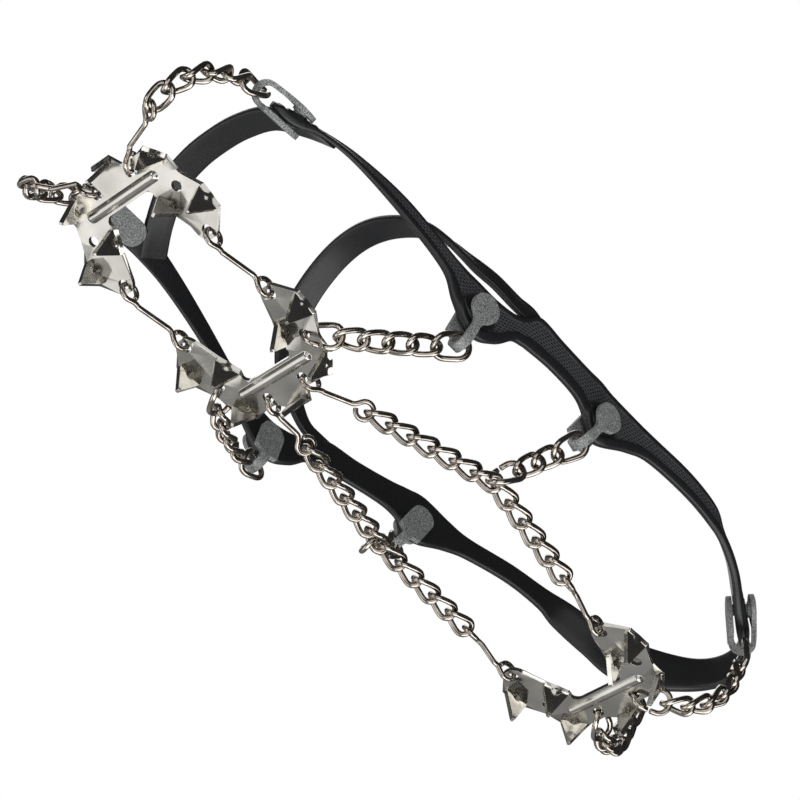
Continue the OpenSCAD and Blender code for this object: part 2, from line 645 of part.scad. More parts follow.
module fore_link_right() { mirror([0, 1, 0]) fore_link_left(); }
module toe_link_right() { mirror([0, 1, 0]) toe_link_left(1); }
module arch_link_right() { mirror([0, 1, 0]) arch_link_left(1); }
module heel_link_right() { mirror([0, 1, 0]) heel_link_left(1); }
module toe_chain_right() { mirror([0, 1, 0]) toe_chain_left(1); }
module side_chain_right() { mirror([0, 1, 0]) side_chain_left(1); }
module arch_chain_right() { mirror([0, 1, 0]) arch_chain_left(1); }
module rear_chain_right() { mirror([0, 1, 0]) rear_chain_left(1); }
module branch_chain_right() { mirror([0, 1, 0]) branch_chain_left(1); }
module heel_chain_right() { mirror([0, 1, 0]) heel_chain_left(1); }
module toe_clip_right() { mirror([0, 1, 0]) toe_clip_left(); }
module front_clip_right() { mirror([0, 1, 0]) front_clip_left(); }
module rear_clip_right() { mirror([0, 1, 0]) rear_clip_left(); }
module heel_clip_right() { mirror([0, 1, 0]) heel_clip_left(); }

harness();
toe_plate();
ball_plate();
heel_plate();
fore_link_left();
fore_link_right();
toe_link_left();
toe_link_right();
arch_link_left();
arch_link_right();
heel_link_left();
heel_link_right();
toe_chain_left();
toe_chain_right();
side_chain_left();
side_chain_right();
arch_chain_left();
arch_chain_right();
rear_chain_left();
rear_chain_right();
branch_chain_left();
branch_chain_right();
heel_chain_left();
heel_chain_right();
toe_clip_left();
toe_clip_right();
front_clip_left();
front_clip_right();
rear_clip_left();
rear_clip_right();
heel_clip_left();
heel_clip_right();
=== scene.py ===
import json
import math

import bmesh
import bpy
from mathutils import Matrix, Vector
from mathutils.geometry import delaunay_2d_cdt
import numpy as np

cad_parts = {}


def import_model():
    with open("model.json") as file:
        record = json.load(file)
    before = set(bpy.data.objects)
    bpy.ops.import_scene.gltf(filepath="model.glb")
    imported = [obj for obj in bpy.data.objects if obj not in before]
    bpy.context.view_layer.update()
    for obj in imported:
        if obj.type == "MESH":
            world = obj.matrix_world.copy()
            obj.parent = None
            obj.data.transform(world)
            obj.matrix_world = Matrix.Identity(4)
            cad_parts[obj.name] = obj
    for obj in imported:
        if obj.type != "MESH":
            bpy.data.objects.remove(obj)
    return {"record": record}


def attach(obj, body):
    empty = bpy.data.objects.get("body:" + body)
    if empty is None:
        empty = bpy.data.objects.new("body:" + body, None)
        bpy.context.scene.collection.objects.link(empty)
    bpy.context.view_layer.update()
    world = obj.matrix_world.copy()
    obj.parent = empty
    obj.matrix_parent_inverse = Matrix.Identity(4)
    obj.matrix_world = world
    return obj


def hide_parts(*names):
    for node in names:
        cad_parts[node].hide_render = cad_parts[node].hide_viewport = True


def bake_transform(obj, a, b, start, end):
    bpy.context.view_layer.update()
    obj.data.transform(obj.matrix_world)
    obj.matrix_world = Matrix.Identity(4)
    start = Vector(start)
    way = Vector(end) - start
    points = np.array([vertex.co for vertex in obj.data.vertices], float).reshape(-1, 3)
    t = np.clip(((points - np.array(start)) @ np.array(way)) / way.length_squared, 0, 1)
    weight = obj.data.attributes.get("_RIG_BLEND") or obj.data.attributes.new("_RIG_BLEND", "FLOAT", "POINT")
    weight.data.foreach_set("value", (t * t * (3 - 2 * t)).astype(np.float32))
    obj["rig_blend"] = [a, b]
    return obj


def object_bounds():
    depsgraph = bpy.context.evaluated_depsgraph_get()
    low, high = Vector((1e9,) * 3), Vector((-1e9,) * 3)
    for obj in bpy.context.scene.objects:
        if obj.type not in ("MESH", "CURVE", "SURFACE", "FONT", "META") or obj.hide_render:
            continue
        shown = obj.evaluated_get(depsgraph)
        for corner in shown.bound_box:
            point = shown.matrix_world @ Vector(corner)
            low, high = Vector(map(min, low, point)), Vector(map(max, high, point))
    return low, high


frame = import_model()
cad_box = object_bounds()

MM = 0.001
UP = Vector((0, 0, 1))
ACROSS = Matrix.Scale(-1, 4, (0, 1, 0))

# Plates: place along the cleat, height of the underside, pitch, and 1 where the arms point to the toe
PLATES = {"toe": (126.6, 10, 16.3, -1), "ball": (52, 0, 7, 1), "heel": (-107.7, 1.7, -6.9, 1)}
PLATE_T = 1.6
HOLE_D = 3.8
RIB_LEN = 34.6
RIB_D = 4
RIB_RISE = 1.35
RIB_CREST_R = 1.2
# Half width of the rib where it meets the flat sheet
RIB_FOOT = RIB_D * 0.52
# Distances of the mesh lines from the rib's axis, as shares of its width
RIB_LINES = (0.08, 0.16, 0.24, 0.32, 0.4, 0.48, 0.54)
HOLE_SIDES = 32
BASE_HOLE = (-5.2, 8.4)
SIDE_HOLE = (6.6, 20.8)
ARM_HOLE = (23.3, 20.9)
SPIKE_H = 10
SPIKE_W = 9
SPIKE_TIP = 0.9
SPIKE_SPLAY = 8
FOLD_R = 1.4
# Gusset pressed into each fold: depth, half width, and its middle and half length in lengths of the fold
GUSSET = 0.9
GUSSET_HALF_W = 1.3
GUSSET_MID = 0.75
GUSSET_HALF_LEN = 0.5
# It rises over the first part of the fold, is pressed inwards and down alike, and fades faster on the spike
GUSSET_START = 0.25
GUSSET_SLANT = 0.7
GUSSET_FADE = 1.6
PLATE_EDGE = 0.28

# Wire links and chain
ROD_D = 1.9
# The solids' eyes are 2.8: drawn 0.15 larger, so that an eye clears its plate at the end of its swing
EYE_R = 2.95
FLEX_HALF = 6
WIRE_D = 2.1
# Drawn slimmer than the solids' wire, so that neighbouring links keep clear of each other as they move
WIRE_R = 0.95 * WIRE_D / 2
ROD_R = 0.93 * ROD_D / 2
LINK = (12.5, 8.1)
BIG_LINK = (14.6, 10.2)
LINK_CUT = 1.2
LINK_TWIST = 45
LINK_SLACK = 0.15
HOOK_PLAY = 0.7
FORK_PLAY = 0.5
FORK_SHIFT = 1.2
FORK_LEAN = 0.4
TOE_DROP = 0.8
PITCH = LINK[0] - 2 * WIRE_D
BIG_PITCH = BIG_LINK[0] - 2 * WIRE_D
HOOK = (ROD_D + WIRE_D) / 2 + 0.1
FORK = Vector((-23, 27.4, 7))
TOE_EYE = Vector((144.5, 30.5, 17.2))
# How far the middle of a run hangs out of the straight line between its ends
TOE_SWAY = Vector((17, 15, -4))
SIDE_SWAY = Vector((2.5, 6, -9))
HEEL_SWAY = Vector((-17, 12, -21))
ARCH_LINKS = 6
REAR_LINKS = 5

# Clips: stud point, then facing azimuth, face-down tilt and swing of the legs
CLIPS = {
    "toe": (Vector((104.9, 41.6, 46.6)), (86, -42, -86)),
    "front": (Vector((22.1, 52, 31.1)), (90, 10, 0)),
    "rear": (Vector((-39.2, 44.6, 45.4)), (94, 5, -14)),
    "heel": (Vector((-129.3, 25.9, 51.2)), (134, -18.5, 18)),
}
HEAD_D = 10.6
CLIP_T = 1.7
STUD_D = 4
CLIP_DROP = 12
LEG_W = 3.6
HEAD_TURN = 140
BACK_LEG_W = 9.6
BACK_SHOULDER = 1.6
CLIP_EDGE = 0.45
CLIP_BOW = 0.5
# The front leg at its neck and at its foot, as shares of its width, and the place of the neck
NECK = 0.8
FOOT = 0.9
NECK_Y = -HEAD_D * 0.73
STUD_COLLAR = 0.9
STUD_SIDES = 32

# Harness band
BAND_T = 3.6
TAB = 8.4
GAP_OUT = 1.6
GAP_IN = 0.8
FACE_OUT = BAND_T / 2 + GAP_OUT
FACE_IN = -BAND_T / 2 - GAP_IN
BEND_R = (FACE_OUT - FACE_IN) / 2
BEND_Z = (FACE_OUT + FACE_IN) / 2
STRAP = 4.8
EDGE_R = 1.2
RECESS = 0.5
PAD_R = 8.2
PAD_SHIFT = 3.2
BOSS_R = 4.2
BOSS_H = 0.7
LIP_R = 6.7
LIP_H = 0.45
# The band is drawn in two pieces that meet here
SPLIT_X = 85

# Degrees past which an edge of sheet metal is rounded, and an edge of wire, clip or band is shaded sharp
SHEET_EDGE_ANGLE = 50
WIRE_EDGE_ANGLE = 50
CLIP_EDGE_ANGLE = 55
BAND_EDGE_ANGLE = 60

BODY_OF = {n: body for body, nodes in frame["record"]["behaviour"]["bodies"].items() for n in nodes}


def turn(degrees, axis):
    return Matrix.Rotation(math.radians(degrees), 4, axis)


def cosd(degrees):
    return math.cos(math.radians(degrees))


def sind(degrees):
    return math.sin(math.radians(degrees))


def mix(a, b, t):
    return a + (b - a) * t


def ease(low, high, value):
    t = min(max((value - low) / (high - low), 0), 1)
    return t * t * (3 - 2 * t)


def across(u, ref):
    return ref.cross(u).normalized()


def place(origin, x, y, z):
    return Matrix.Translation(origin) @ Matrix((x, y, z)).transposed().to_4x4()


# Pieces


def face_out(bm):
    """Turns the faces of one closed body outwards."""
    bmesh.ops.recalc_face_normals(bm, faces=bm.faces[:])
    if bm.calc_volume(signed=True) < 0:
        bmesh.ops.reverse_faces(bm, faces=bm.faces[:])


def new_object(name, bm, material, facing_out=False):
    """Links a mesh built in millimetres into the scene, in metres."""
    bm.transform(Matrix.Scale(MM, 4))
    if not facing_out:
        bmesh.ops.recalc_face_normals(bm, faces=bm.faces[:])
    for face in bm.faces:
        face.smooth = True
    mesh = bpy.data.meshes.new(name)
    bm.to_mesh(mesh)
    bm.free()
    mesh.materials.append(material)
    obj = bpy.data.objects.new(name, mesh)
    bpy.context.collection.objects.link(obj)
    return obj


def settle(obj, sharp=None):
    """Turns the modifiers of a piece into its final mesh."""
    if obj.modifiers:
        bpy.context.view_layer.update()
        done = obj.evaluated_get(bpy.context.evaluated_depsgraph_get())
        mesh = bpy.data.meshes.new_from_object(done)
        mesh.name = obj.name
        obj.modifiers.clear()
        obj.data = mesh
    if sharp:
        obj.data.set_sharp_from_angle(angle=math.radians(sharp))
    return obj


def sheet_metal(obj, thickness, edge_width, segments):
    """Gives a middle surface its thickness, and its edges a small round."""
    thick = obj.modifiers.new("sheet", "SOLIDIFY")
    thick.thickness = thickness * MM
    thick.offset = 0
    edge = obj.modifiers.new("edge", "BEVEL")
    edge.width = edge_width * MM
    edge.segments = segments
    edge.limit_method = "ANGLE"
    edge.angle_limit = math.radians(SHEET_EDGE_ANGLE)
    return thick


def stand_for(obj, node):
    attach(obj, BODY_OF[node])
    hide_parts(node)
    return obj


def sides(make, name, material, node):
    """Makes the left piece, and mirrors one of the other hand to the right, so that both twist one way."""
    for side, hand in (("left", -1), ("right", 1)):
        bm = bmesh.new()
        make(bm, hand)
        if side == "right":
            bm.transform(ACROSS)
            bmesh.ops.reverse_faces(bm, faces=bm.faces[:])
        obj = new_object(f"{name}_{side}", bm, material)
        stand_for(settle(obj, WIRE_EDGE_ANGLE), f"{node}_{side}")


# Round wire

# Rings past an open end: distance and size, in radii of the wire
WIRE_END = ((0.25, 0.8), (0.35, 0.45))


def ring_wall(bm, low, high):
    n = len(low)
    for j in range(n):
        bm.faces.new((low[j], low[(j + 1) % n], high[(j + 1) % n], high[j]))


def wire_rings(bm, path, normals, radius, closed, count=14):
    """Sweeps a round section along the path; an open end is rounded off."""
    n = len(path)
    rings = []
    for i, (p, k) in enumerate(zip(path, normals)):
        before = path[i - 1] if closed or i else path[i]
        after = path[(i + 1) % n] if closed or i < n - 1 else path[i]
        t = (after - before).normalized()
        e = (k - k.dot(t) * t).normalized()
        g = t.cross(e)
        places = [(p, radius)]
        if not closed and i == 0:
            places = [(p - t * radius * far, radius * wide) for far, wide in WIRE_END[::-1]] + places
        if not closed and i == n - 1:
            places += [(p + t * radius * far, radius * wide) for far, wide in WIRE_END]
        for centre, r in places:
            angles = [2 * math.pi * j / count for j in range(count)]
            rings.append([bm.verts.new(centre + r * (math.cos(a) * e + math.sin(a) * g)) for a in angles])
    for low, high in zip(rings, rings[1:]):
        ring_wall(bm, low, high)
    if closed:
        ring_wall(bm, rings[-1], rings[0])
    else:
        bm.faces.new(rings[0][::-1])
        bm.faces.new(rings[-1])


def carried_normals(path, start):
    """Cross directions that follow an open path without twist."""
    normals = [start]
    for i in range(1, len(path)):
        t = (path[i] - path[i - 1]).normalized()
        k = normals[-1]
        normals.append((k - k.dot(t) * t).normalized())
    return normals


# Chain


def oval(a, r, cut):
    """Flat centreline of a link, long axis on X."""
    left = [(-(a - r) + r * cosd(t), r * sind(t)) for t in range(90, 271, 15)]
    right = [(a - r + r * cosd(t), r * sind(t)) for t in range(-90, 91, 15)]
    steps = 5
    low = [(mix(left[-1][0], right[0][0], i / steps), -r) for i in range(1, steps)]
    top = [(mix(right[-1][0], left[0][0], i / steps), r) for i in range(1, steps)]
    if not cut:
        return left + low + right + top
    return [(-cut / 2, r)] + left + low + right + [(cut / 2, r)]


def chain_link(bm, matrix, size, t0, t1, cut=0):
    a = (size[0] - WIRE_D) / 2
    r = (size[1] - WIRE_D) / 2
    turns = matrix.to_3x3()
    path = []
    normals = []
    for x, y in oval(a, r, cut):
        f = mix(t0, t1, (x + a) / (2 * a))
        path.append(matrix @ Vector((x, y * cosd(f), y * sind(f))))
        normals.append(turns @ Vector((0, -sind(f), cosd(f))))
    wire_rings(bm, path, normals, WIRE_R, not cut)


def bezier(a, m, c, t):
    return (1 - t) ** 2 * a + 2 * t * (1 - t) * m + t * t * c


def hook_points(a, m, c, first, last):
    """Points where the links of a run hang on each other, along the curve a-m-c."""
    steps = 40
    pts = [bezier(a, m, c, i / steps) for i in range(steps + 1)]
    sums = [0]
    for p, q in zip(pts, pts[1:]):
        sums.append(sums[-1] + (q - p).length)
    s0 = WIRE_D / 2
    s1 = s0 + BIG_PITCH if first else s0
    e0 = sums[-1] - WIRE_D / 2
    e1 = e0 - BIG_PITCH if last else e0
    k = max(1, math.ceil((e1 - s1) / (PITCH - LINK_SLACK)))
    marks = ([s0] if first else []) + [mix(s1, e1, i / k) for i in range(k + 1)] + ([e0] if last else [])
    out = []
    for s in marks:
        i = max(j for j in range(steps) if sums[j] <= s)
        out.append(bezier(a, m, c, (i + (s - sums[i]) / (sums[i + 1] - sums[i])) / steps))
    return out


def chain(bm, a, m, c, first, last, up0, up1, hand, spin=0):
    """A run of twisted curb links; first and last say where a wider joining link sits."""
    p = hook_points(a, m, c, first, last)
    n = len(p) - 1
    twist = hand * LINK_TWIST
    us = [(q - o).normalized() for o, q in zip(p, p[1:])]
    vs = [across(us[0], up0)]
    for u in us[1:]:
        vs.append((vs[-1] - vs[-1].dot(u) * u).normalized())
    goal = across(us[-1], up1)
    extra = math.degrees(math.atan2(vs[-1].cross(goal).dot(us[-1]), vs[-1].dot(goal)))
    if extra > 90:
        extra -= 180
    if extra < -90:
        extra += 180
    for i, u in enumerate(us):
        g = (extra + spin) * i / (n - 1)
        v = cosd(g) * vs[i] + sind(g) * u.cross(vs[i])
        matrix = place((p[i] + p[i + 1]) / 2, u, v, u.cross(v))
        if i == 0 and first:
            chain_link(bm, matrix, BIG_LINK, 90 * hand, twist, LINK_CUT)
        elif i == n - 1 and last:
            chain_link(bm, matrix, BIG_LINK, -twist, 0)
        else:
            chain_link(bm, matrix, LINK, -twist, twist)


# Points of the plates and clips


def plate_matrix(name):
    x, z, pitch, way = PLATES[name]
    return Matrix.Translation((x, 0, z)) @ turn(-pitch, "Y") @ turn(0 if way > 0 else 180, "Z")


def plate_point(name, hole):
    return plate_matrix(name) @ Vector((hole[0], PLATES[name][3] * hole[1], PLATE_T / 2))


def plate_up(name, more=0):
    pitch = PLATES[name][2] + more
    return Vector((-sind(pitch), 0, cosd(pitch)))


def out_dir(f):
    return Vector((cosd(f[0]) * cosd(f[1]), sind(f[0]) * cosd(f[1]), -sind(f[1])))


def leg_dir(f):
    fall = Vector((-cosd(f[0]) * sind(f[1]), -sind(f[0]) * sind(f[1]), -cosd(f[1])))
    return cosd(f[2]) * fall + sind(f[2]) * out_dir(f).cross(fall)


def clip_matrix(name):
    stud, f = CLIPS[name]
    return place(stud, (-leg_dir(f)).cross(out_dir(f)), -leg_dir(f), out_dir(f))


def clip_bend(name):
    stud, f = CLIPS[name]
    return stud + (CLIP_DROP + BEND_R + CLIP_T / 2) * leg_dir(f) + BEND_Z * out_dir(f)


def hooked(m, name):
    """End of a run: past the bend of its clip, by what the wide last link leaves free."""
    f = CLIPS[name][1]
    p = clip_bend(name)
    u = (p - m).normalized()
    big_in = BIG_LINK[1] / 2 - WIRE_D
    nest = big_in - math.sqrt(big_in ** 2 - LEG_W ** 2 / 4)
    half = (LEG_W * abs(u.dot(out_dir(f).cross(leg_dir(f)))) + CLIP_T * abs(u.dot(leg_dir(f)))) / 2
    return p + u * (half + WIRE_D / 2 + nest + HOOK_PLAY)


TOE_BASE = plate_point("toe", BASE_HOLE)
TOE_ARM = plate_point("toe", ARM_HOLE)
BALL_ARM = plate_point("ball", ARM_HOLE)
BALL_SIDE = plate_point("ball", SIDE_HOLE)
BALL_BASE = plate_point("ball", BASE_HOLE)
HEEL_ARM = plate_point("heel", ARM_HOLE)
HEEL_BASE = plate_point("heel", BASE_HOLE)
TOE_U = (TOE_EYE - TOE_BASE).normalized()
ARCH_U = (FORK - BALL_BASE).normalized()
REAR_U = (FORK - HEEL_ARM).normalized()
ARCH_EYE = FORK - ARCH_U * (ARCH_LINKS * (PITCH - LINK_SLACK) - HOOK)
REAR_EYE = FORK - REAR_U * (REAR_LINKS * (PITCH - LINK_SLACK) - HOOK)


def toe_chain(bm, hand):
    left = hand < 0
    a = TOE_EYE - TOE_U * HOOK - (TOE_DROP if left else 0) * UP
    m = (a + clip_bend("toe")) / 2 + TOE_SWAY
    chain(bm, a, m, hooked(m, "toe"), False, True, UP, out_dir(CLIPS["toe"][1]), hand, 180 if left else 0)


def side_chain(bm, hand):
    m = (BALL_SIDE + clip_bend("front")) / 2 + SIDE_SWAY
    way = -out_dir(CLIPS["front"][1])
    chain(bm, BALL_SIDE, m, hooked(m, "front"), True, True, plate_up("ball"), way, hand)


def arch_chain(bm, hand):
    a = ARCH_EYE - ARCH_U * HOOK
    c = FORK + ARCH_U * (WIRE_D / 2)
    chain(bm, a, (a + c) / 2, c, False, False, UP, UP, hand)


def rear_chain(bm, hand):
    a = FORK + REAR_U * (WIRE_D / 2)
    c = REAR_EYE - REAR_U * HOOK
    chain(bm, a, (a + c) / 2, c, False, False, UP, UP, hand)


def branch_chain(bm, hand):
    bend = clip_bend("rear")
    shift = FORK_SHIFT / 4 if hand < 0 else FORK_SHIFT
    turned = 2 * hand * LINK_TWIST * shift / (LINK[0] - WIRE_D)
    v = across(ARCH_U, UP)
    w = ARCH_U.cross(v)
    r = (LINK[1] - WIRE_D) / 2
    side = FORK - ARCH_U * (PITCH / 2 - shift) - r * (cosd(turned) * v + sind(turned) * w)
    leg = (ARCH_U + FORK_LEAN * w).normalized()
    way = in_sheet(bend - side, leg) if hand < 0 else (bend - side).normalized()
    a = side - way * (WIRE_D + FORK_PLAY)
    m = (a + bend) / 2
    ref = leg.cross((bend - a).normalized())
    chain(bm, a, m, hooked(m, "rear"), True, True, ref, -out_dir(CLIPS["rear"][1]), hand)


def heel_chain(bm, hand):
    m = (HEEL_BASE + clip_bend("heel")) / 2 + HEEL_SWAY
    way = -out_dir(CLIPS["heel"][1])
    chain(bm, HEEL_BASE, m, hooked(m, "heel"), True, True, plate_up("heel"), way, hand)


# Wire links: one wire, bent to an eye at each end


def in_sheet(u, n):
    return (u - u.dot(n) * n).normalized()


def eye_path(p, u, n):
    """Wire from its cut end round the eye and out to the stem."""
    v = in_sheet(n, u)
    c = p + u * EYE_R
    cut, leave, stem = 16, 316, 2.6
    pull_out, pull_in = 1.5, 1.7
    path = [c + EYE_R * (u * cosd(t) + v * sind(t)) for t in range(cut, leave + 1, 10)]
    last = path[-1]
    t = (v * cosd(leave) - u * sind(leave)).normalized()
    goal = c + u * (EYE_R + stem)
    b1 = last + t * pull_out
    b2 = goal - u * pull_in
    for i in range(1, 8):
        s = i / 7
        point = (1 - s) ** 3 * last + 3 * s * (1 - s) ** 2 * b1
        path.append(point + 3 * s * s * (1 - s) * b2 + s ** 3 * goal)
    return path


def wire_link(bm, a, b, ua, ub, na, nb):
    path = eye_path(a, ua, na)
    far = eye_path(b, ub, nb)
    p, q = path[-1], far[-1]
    steps = 8
    path += [mix(p, q, i / steps) for i in range(1, steps)] + far[::-1]
    wire_rings(bm, path, carried_normals(path, ua.cross(in_sheet(na, ua))), ROD_R, False)


def fore_link(bm, hand):
    u = (TOE_ARM - BALL_ARM).normalized()
    ua = in_sheet(u, plate_up("ball", -FLEX_HALF))
    ub = in_sheet(-u, plate_up("toe", FLEX_HALF))
    wire_link(bm, BALL_ARM, TOE_ARM, ua, ub, UP, UP)


def toe_link(bm, hand):
    v = across(TOE_U, UP)
    pitch = PLATES["toe"][2]
    ua = Vector((cosd(pitch), 0.8, sind(pitch))).normalized()
    wire_link(bm, TOE_BASE, TOE_EYE, ua, -TOE_U, plate_up("toe"), v + hand * TOE_U.cross(v))


def arch_link(bm, hand):
    v = across(ARCH_U, UP)
    ua = in_sheet(ARCH_U, plate_up("ball"))
    wire_link(bm, BALL_BASE, ARCH_EYE, ua, -ARCH_U, plate_up("ball"), v + hand * ARCH_U.cross(v))


def heel_link(bm, hand):
    v = across(-REAR_U, UP)
    ua = in_sheet(REAR_U, plate_up("heel"))
    wire_link(bm, HEEL_ARM, REAR_EYE, ua, -REAR_U, plate_up("heel"), v + hand * REAR_U.cross(v))


# Spiked plates: a stamped sheet with a pressed rib, six holes and seven folded spikes

SIDE_OUTLINE = [
    (2.8, 9.6), (4.4, 11.4), (6.2, 12.2), (14.2, 15.8), (24.3, 17.1), (26.4, 18.9), (26.4, 23.1),
    (19.4, 27.8), (10.6, 27.4), (3.6, 24.6), (-1.2, 22.6), (-8, 16.2), (-8.4, 11), (-8.4, 7.2), (-10.8, 5)]
# Ends of the fold lines, as numbers of points in the outline
FOLDS = [(3, 2), (8, 7), (11, 10)]
FOLD_STEPS = 6
SPIKE_STEPS = 9
SPIKE_COLUMNS = 16


def fold_frame(a, b):
    """Middle of a fold line, its direction, and the way out of the metal."""
    d = (b - a).normalized()
    return (a + b) / 2, d, Vector((d.y, -d.x))


def fold_inset():
    z_end = PLATE_T / 2 - FOLD_R * (1 - sind(SPIKE_SPLAY))
    out_end = (PLATE_T - z_end) * math.tan(math.radians(SPIKE_SPLAY)) - PLATE_T / 2 / cosd(SPIKE_SPLAY)
    return FOLD_R * cosd(SPIKE_SPLAY) - out_end


def fold_row(a, b):
    """Points on the sheet where a fold starts."""
    mid, d, out = fold_frame(a, b)
    half = min(SPIKE_W, (b - a).length) / 2
    marks = [mix(-half, half, i / SPIKE_COLUMNS) for i in range(SPIKE_COLUMNS + 1)]
    return [mid + d * s - out * fold_inset() for s in marks]


def spike_sheet(bm, a, b):
    """Middle surface of one spike, from its fold to its tip, with a pressed gusset in the fold."""
    mid, d, out = fold_frame(a, b)
    half = min(SPIKE_W, (b - a).length) / 2
    bend = 90 - SPIKE_SPLAY
    rows = []
    for i in range(FOLD_STEPS + 1):
        t = bend * i / FOLD_STEPS
        rows.append((FOLD_R * sind(t) - fold_inset(), PLATE_T / 2 - FOLD_R * (1 - cosd(t)), half, t / bend))
    o, z = rows[-1][0], rows[-1][1]
    drop = z + SPIKE_H
    for i in range(1, SPIKE_STEPS + 1):
        t = i / SPIKE_STEPS
        wide = mix(half, SPIKE_TIP / 2, t)
        along = 1 + GUSSET_FADE * drop * t / (FOLD_R * math.radians(bend))
        rows.append((o + drop * t * math.tan(math.radians(SPIKE_SPLAY)), z - drop * t, wide, along))
    grid = []
    for o, z, wide, along in rows:
        line = []
        for j in range(SPIKE_COLUMNS + 1):
            s = mix(-wide, wide, j / SPIKE_COLUMNS)
            press = GUSSET * math.exp(-((s / GUSSET_HALF_W) ** 2))
            press *= math.exp(-(((along - GUSSET_MID) / GUSSET_HALF_LEN) ** 2))
            press *= ease(0, GUSSET_START, along)
            flat = mid + d * s + out * (o - press * GUSSET_SLANT)
            line.append(bm.verts.new((flat.x, flat.y, z - press * GUSSET_SLANT)))
        grid.append(line)
    for low, high in zip(grid, grid[1:]):
        for j in range(SPIKE_COLUMNS):
            bm.faces.new((low[j], low[j + 1], high[j + 1], high[j]))


def inside(p, loop):
    hit = False
    for a, b in zip(loop, loop[1:] + loop[:1]):
        if (a.y > p.y) != (b.y > p.y) and p.x < (b.x - a.x) * (p.y - a.y) / (b.y - a.y) + a.x:
            hit = not hit
    return hit


def rounded(loop, keep, radius=1.3, steps=4):
    """Rounds the corners of an outline, apart from those of its folds."""
    out = []
    n = len(loop)
    for i, p in enumerate(loop):
        if i in keep:
            out.append(p)
            continue
        a, b = loop[i - 1], loop[(i + 1) % n]
        r = min(radius, 0.45 * (a - p).length, 0.45 * (b - p).length)
        start = p + (a - p).normalized() * r
        end = p + (b - p).normalized() * r
        out += [bezier(start, p, end, k / steps) for k in range(steps + 1)]
    return out


def sheet_outline():
    """Outline of the flat sheet, set in where the spikes fold down, and the fold lines."""
    pts = [Vector(p) for p in SIDE_OUTLINE]
    flip = [Vector((p.x, -p.y)) for p in pts]
    folds = []
    swaps = {}
    for i, j in FOLDS:
        row = fold_row(pts[i], pts[j])
        swaps[j] = row
        swaps[i] = None
        folds += [(pts[i], pts[j]), (flip[j], flip[i])]
    nose = (flip[-1], pts[-1])
    folds.append(nose)
    loop = []
    keep = set()
    for i, p in enumerate(pts[:-1]):
        if i not in swaps:
            loop.append(p)
        elif swaps[i]:
            row = swaps[i][::-1]
            keep.update(range(len(loop), len(loop) + len(row)))
            loop += row
    half = [(p, i in keep) for i, p in enumerate(loop)]
    row = [(p, True) for p in fold_row(*nose)[::-1]]
    back = [(Vector((p.x, -p.y)), k) for p, k in half[::-1]]
    marked = half + row + back
    loop = [p for p, k in marked]
    return rounded(loop, {i for i, (p, k) in enumerate(marked) if k}), folds


def circle(x, y, r, steps):
    angles = [2 * math.pi * i / steps for i in range(steps)]
    return [Vector((x + r * math.cos(a), y + r * math.sin(a))) for a in angles]


def stadium(offset, half):
    """Outline at one distance from the rib's axis."""
    top = [Vector((offset * cosd(t), half + offset * sind(t))) for t in range(0, 181, 15)]
    low = [Vector((offset * cosd(t), -half + offset * sind(t))) for t in range(180, 361, 15)]
    steps = 12
    left = [mix(top[-1], low[0], i / steps) for i in range(1, steps)]
    right = [mix(low[-1], top[0], i / steps) for i in range(1, steps)]
    return top + left + low + right


def rib_press(x, y):
    """How far the rib is pressed out of the sheet at a point: a round crest that runs into a round foot."""
    half = (RIB_LEN - RIB_D) / 2
    off = math.hypot(x, max(abs(y) - half, 0))
    if off >= RIB_FOOT:
        return 0
    steepest = 2 * math.atan(RIB_RISE / RIB_FOOT)
    foot_r = RIB_FOOT / math.sin(steepest) - RIB_CREST_R
    if off > RIB_CREST_R * math.sin(steepest):
        return foot_r - math.sqrt(foot_r ** 2 - (RIB_FOOT - off) ** 2)
    return RIB_RISE - RIB_CREST_R + math.sqrt(RIB_CREST_R ** 2 - off ** 2)


def flat_sheet(bm):
    """Middle surface of the sheet with its holes and rib; gives back the fold lines of its spikes."""
    outline, folds = sheet_outline()
    centres = [(x, s * y) for x, y in (BASE_HOLE, SIDE_HOLE, ARM_HOLE) for s in (1, -1)]
    holes = [circle(x, y, HOLE_D / 2, HOLE_SIDES) for x, y in centres]
    half = (RIB_LEN - RIB_D) / 2
    ribs = [stadium(RIB_D * k, half) for k in RIB_LINES]
    axis = [Vector((0, mix(-half, half, i / 12))) for i in range(13)]
    verts = []
    edges = []
    for loop in [outline] + holes + ribs:
        first = len(verts)
        verts += loop
        edges += [(first + i, first + (i + 1) % len(loop)) for i in range(len(loop))]
    first = len(verts)
    verts += axis
    edges += [(first + i, first + i + 1) for i in range(len(axis) - 1)]
    found = delaunay_2d_cdt(verts, edges, [], 0, 1e-5)
    made = [bm.verts.new((p.x, p.y, PLATE_T / 2 - rib_press(p.x, p.y))) for p in found[0]]
    for tri in found[2]:
        a, b, c = (found[0][i] for i in tri)
        middle = (a + b + c) / 3
        sliver = abs((b - a).cross(c - a)) < 1e-3
        if not sliver and inside(middle, outline) and not any(inside(middle, hole) for hole in holes):
            bm.faces.new([made[i] for i in tri])
    return folds


def spiked_plate(name, material):
    bm = bmesh.new()
    for a, b in flat_sheet(bm):
        spike_sheet(bm, a, b)
    bmesh.ops.remove_doubles(bm, verts=bm.verts[:], dist=1e-3)
    loose = [v for v in bm.verts if not v.link_faces]
    bmesh.ops.delete(bm, geom=loose, context="VERTS")
    bm.transform(plate_matrix(name))
    obj = new_object(f"{name}_spiked_plate", bm, material)
    thick = sheet_metal(obj, PLATE_T, PLATE_EDGE, 2)
    thick.use_quality_normals = True
    flat = obj.modifiers.new("flats", "WEIGHTED_NORMAL")
    flat.keep_sharp = True
    return stand_for(settle(obj), f"{name}_plate")


# Hook clips: a strip with a round head, bent back on itself below the harness


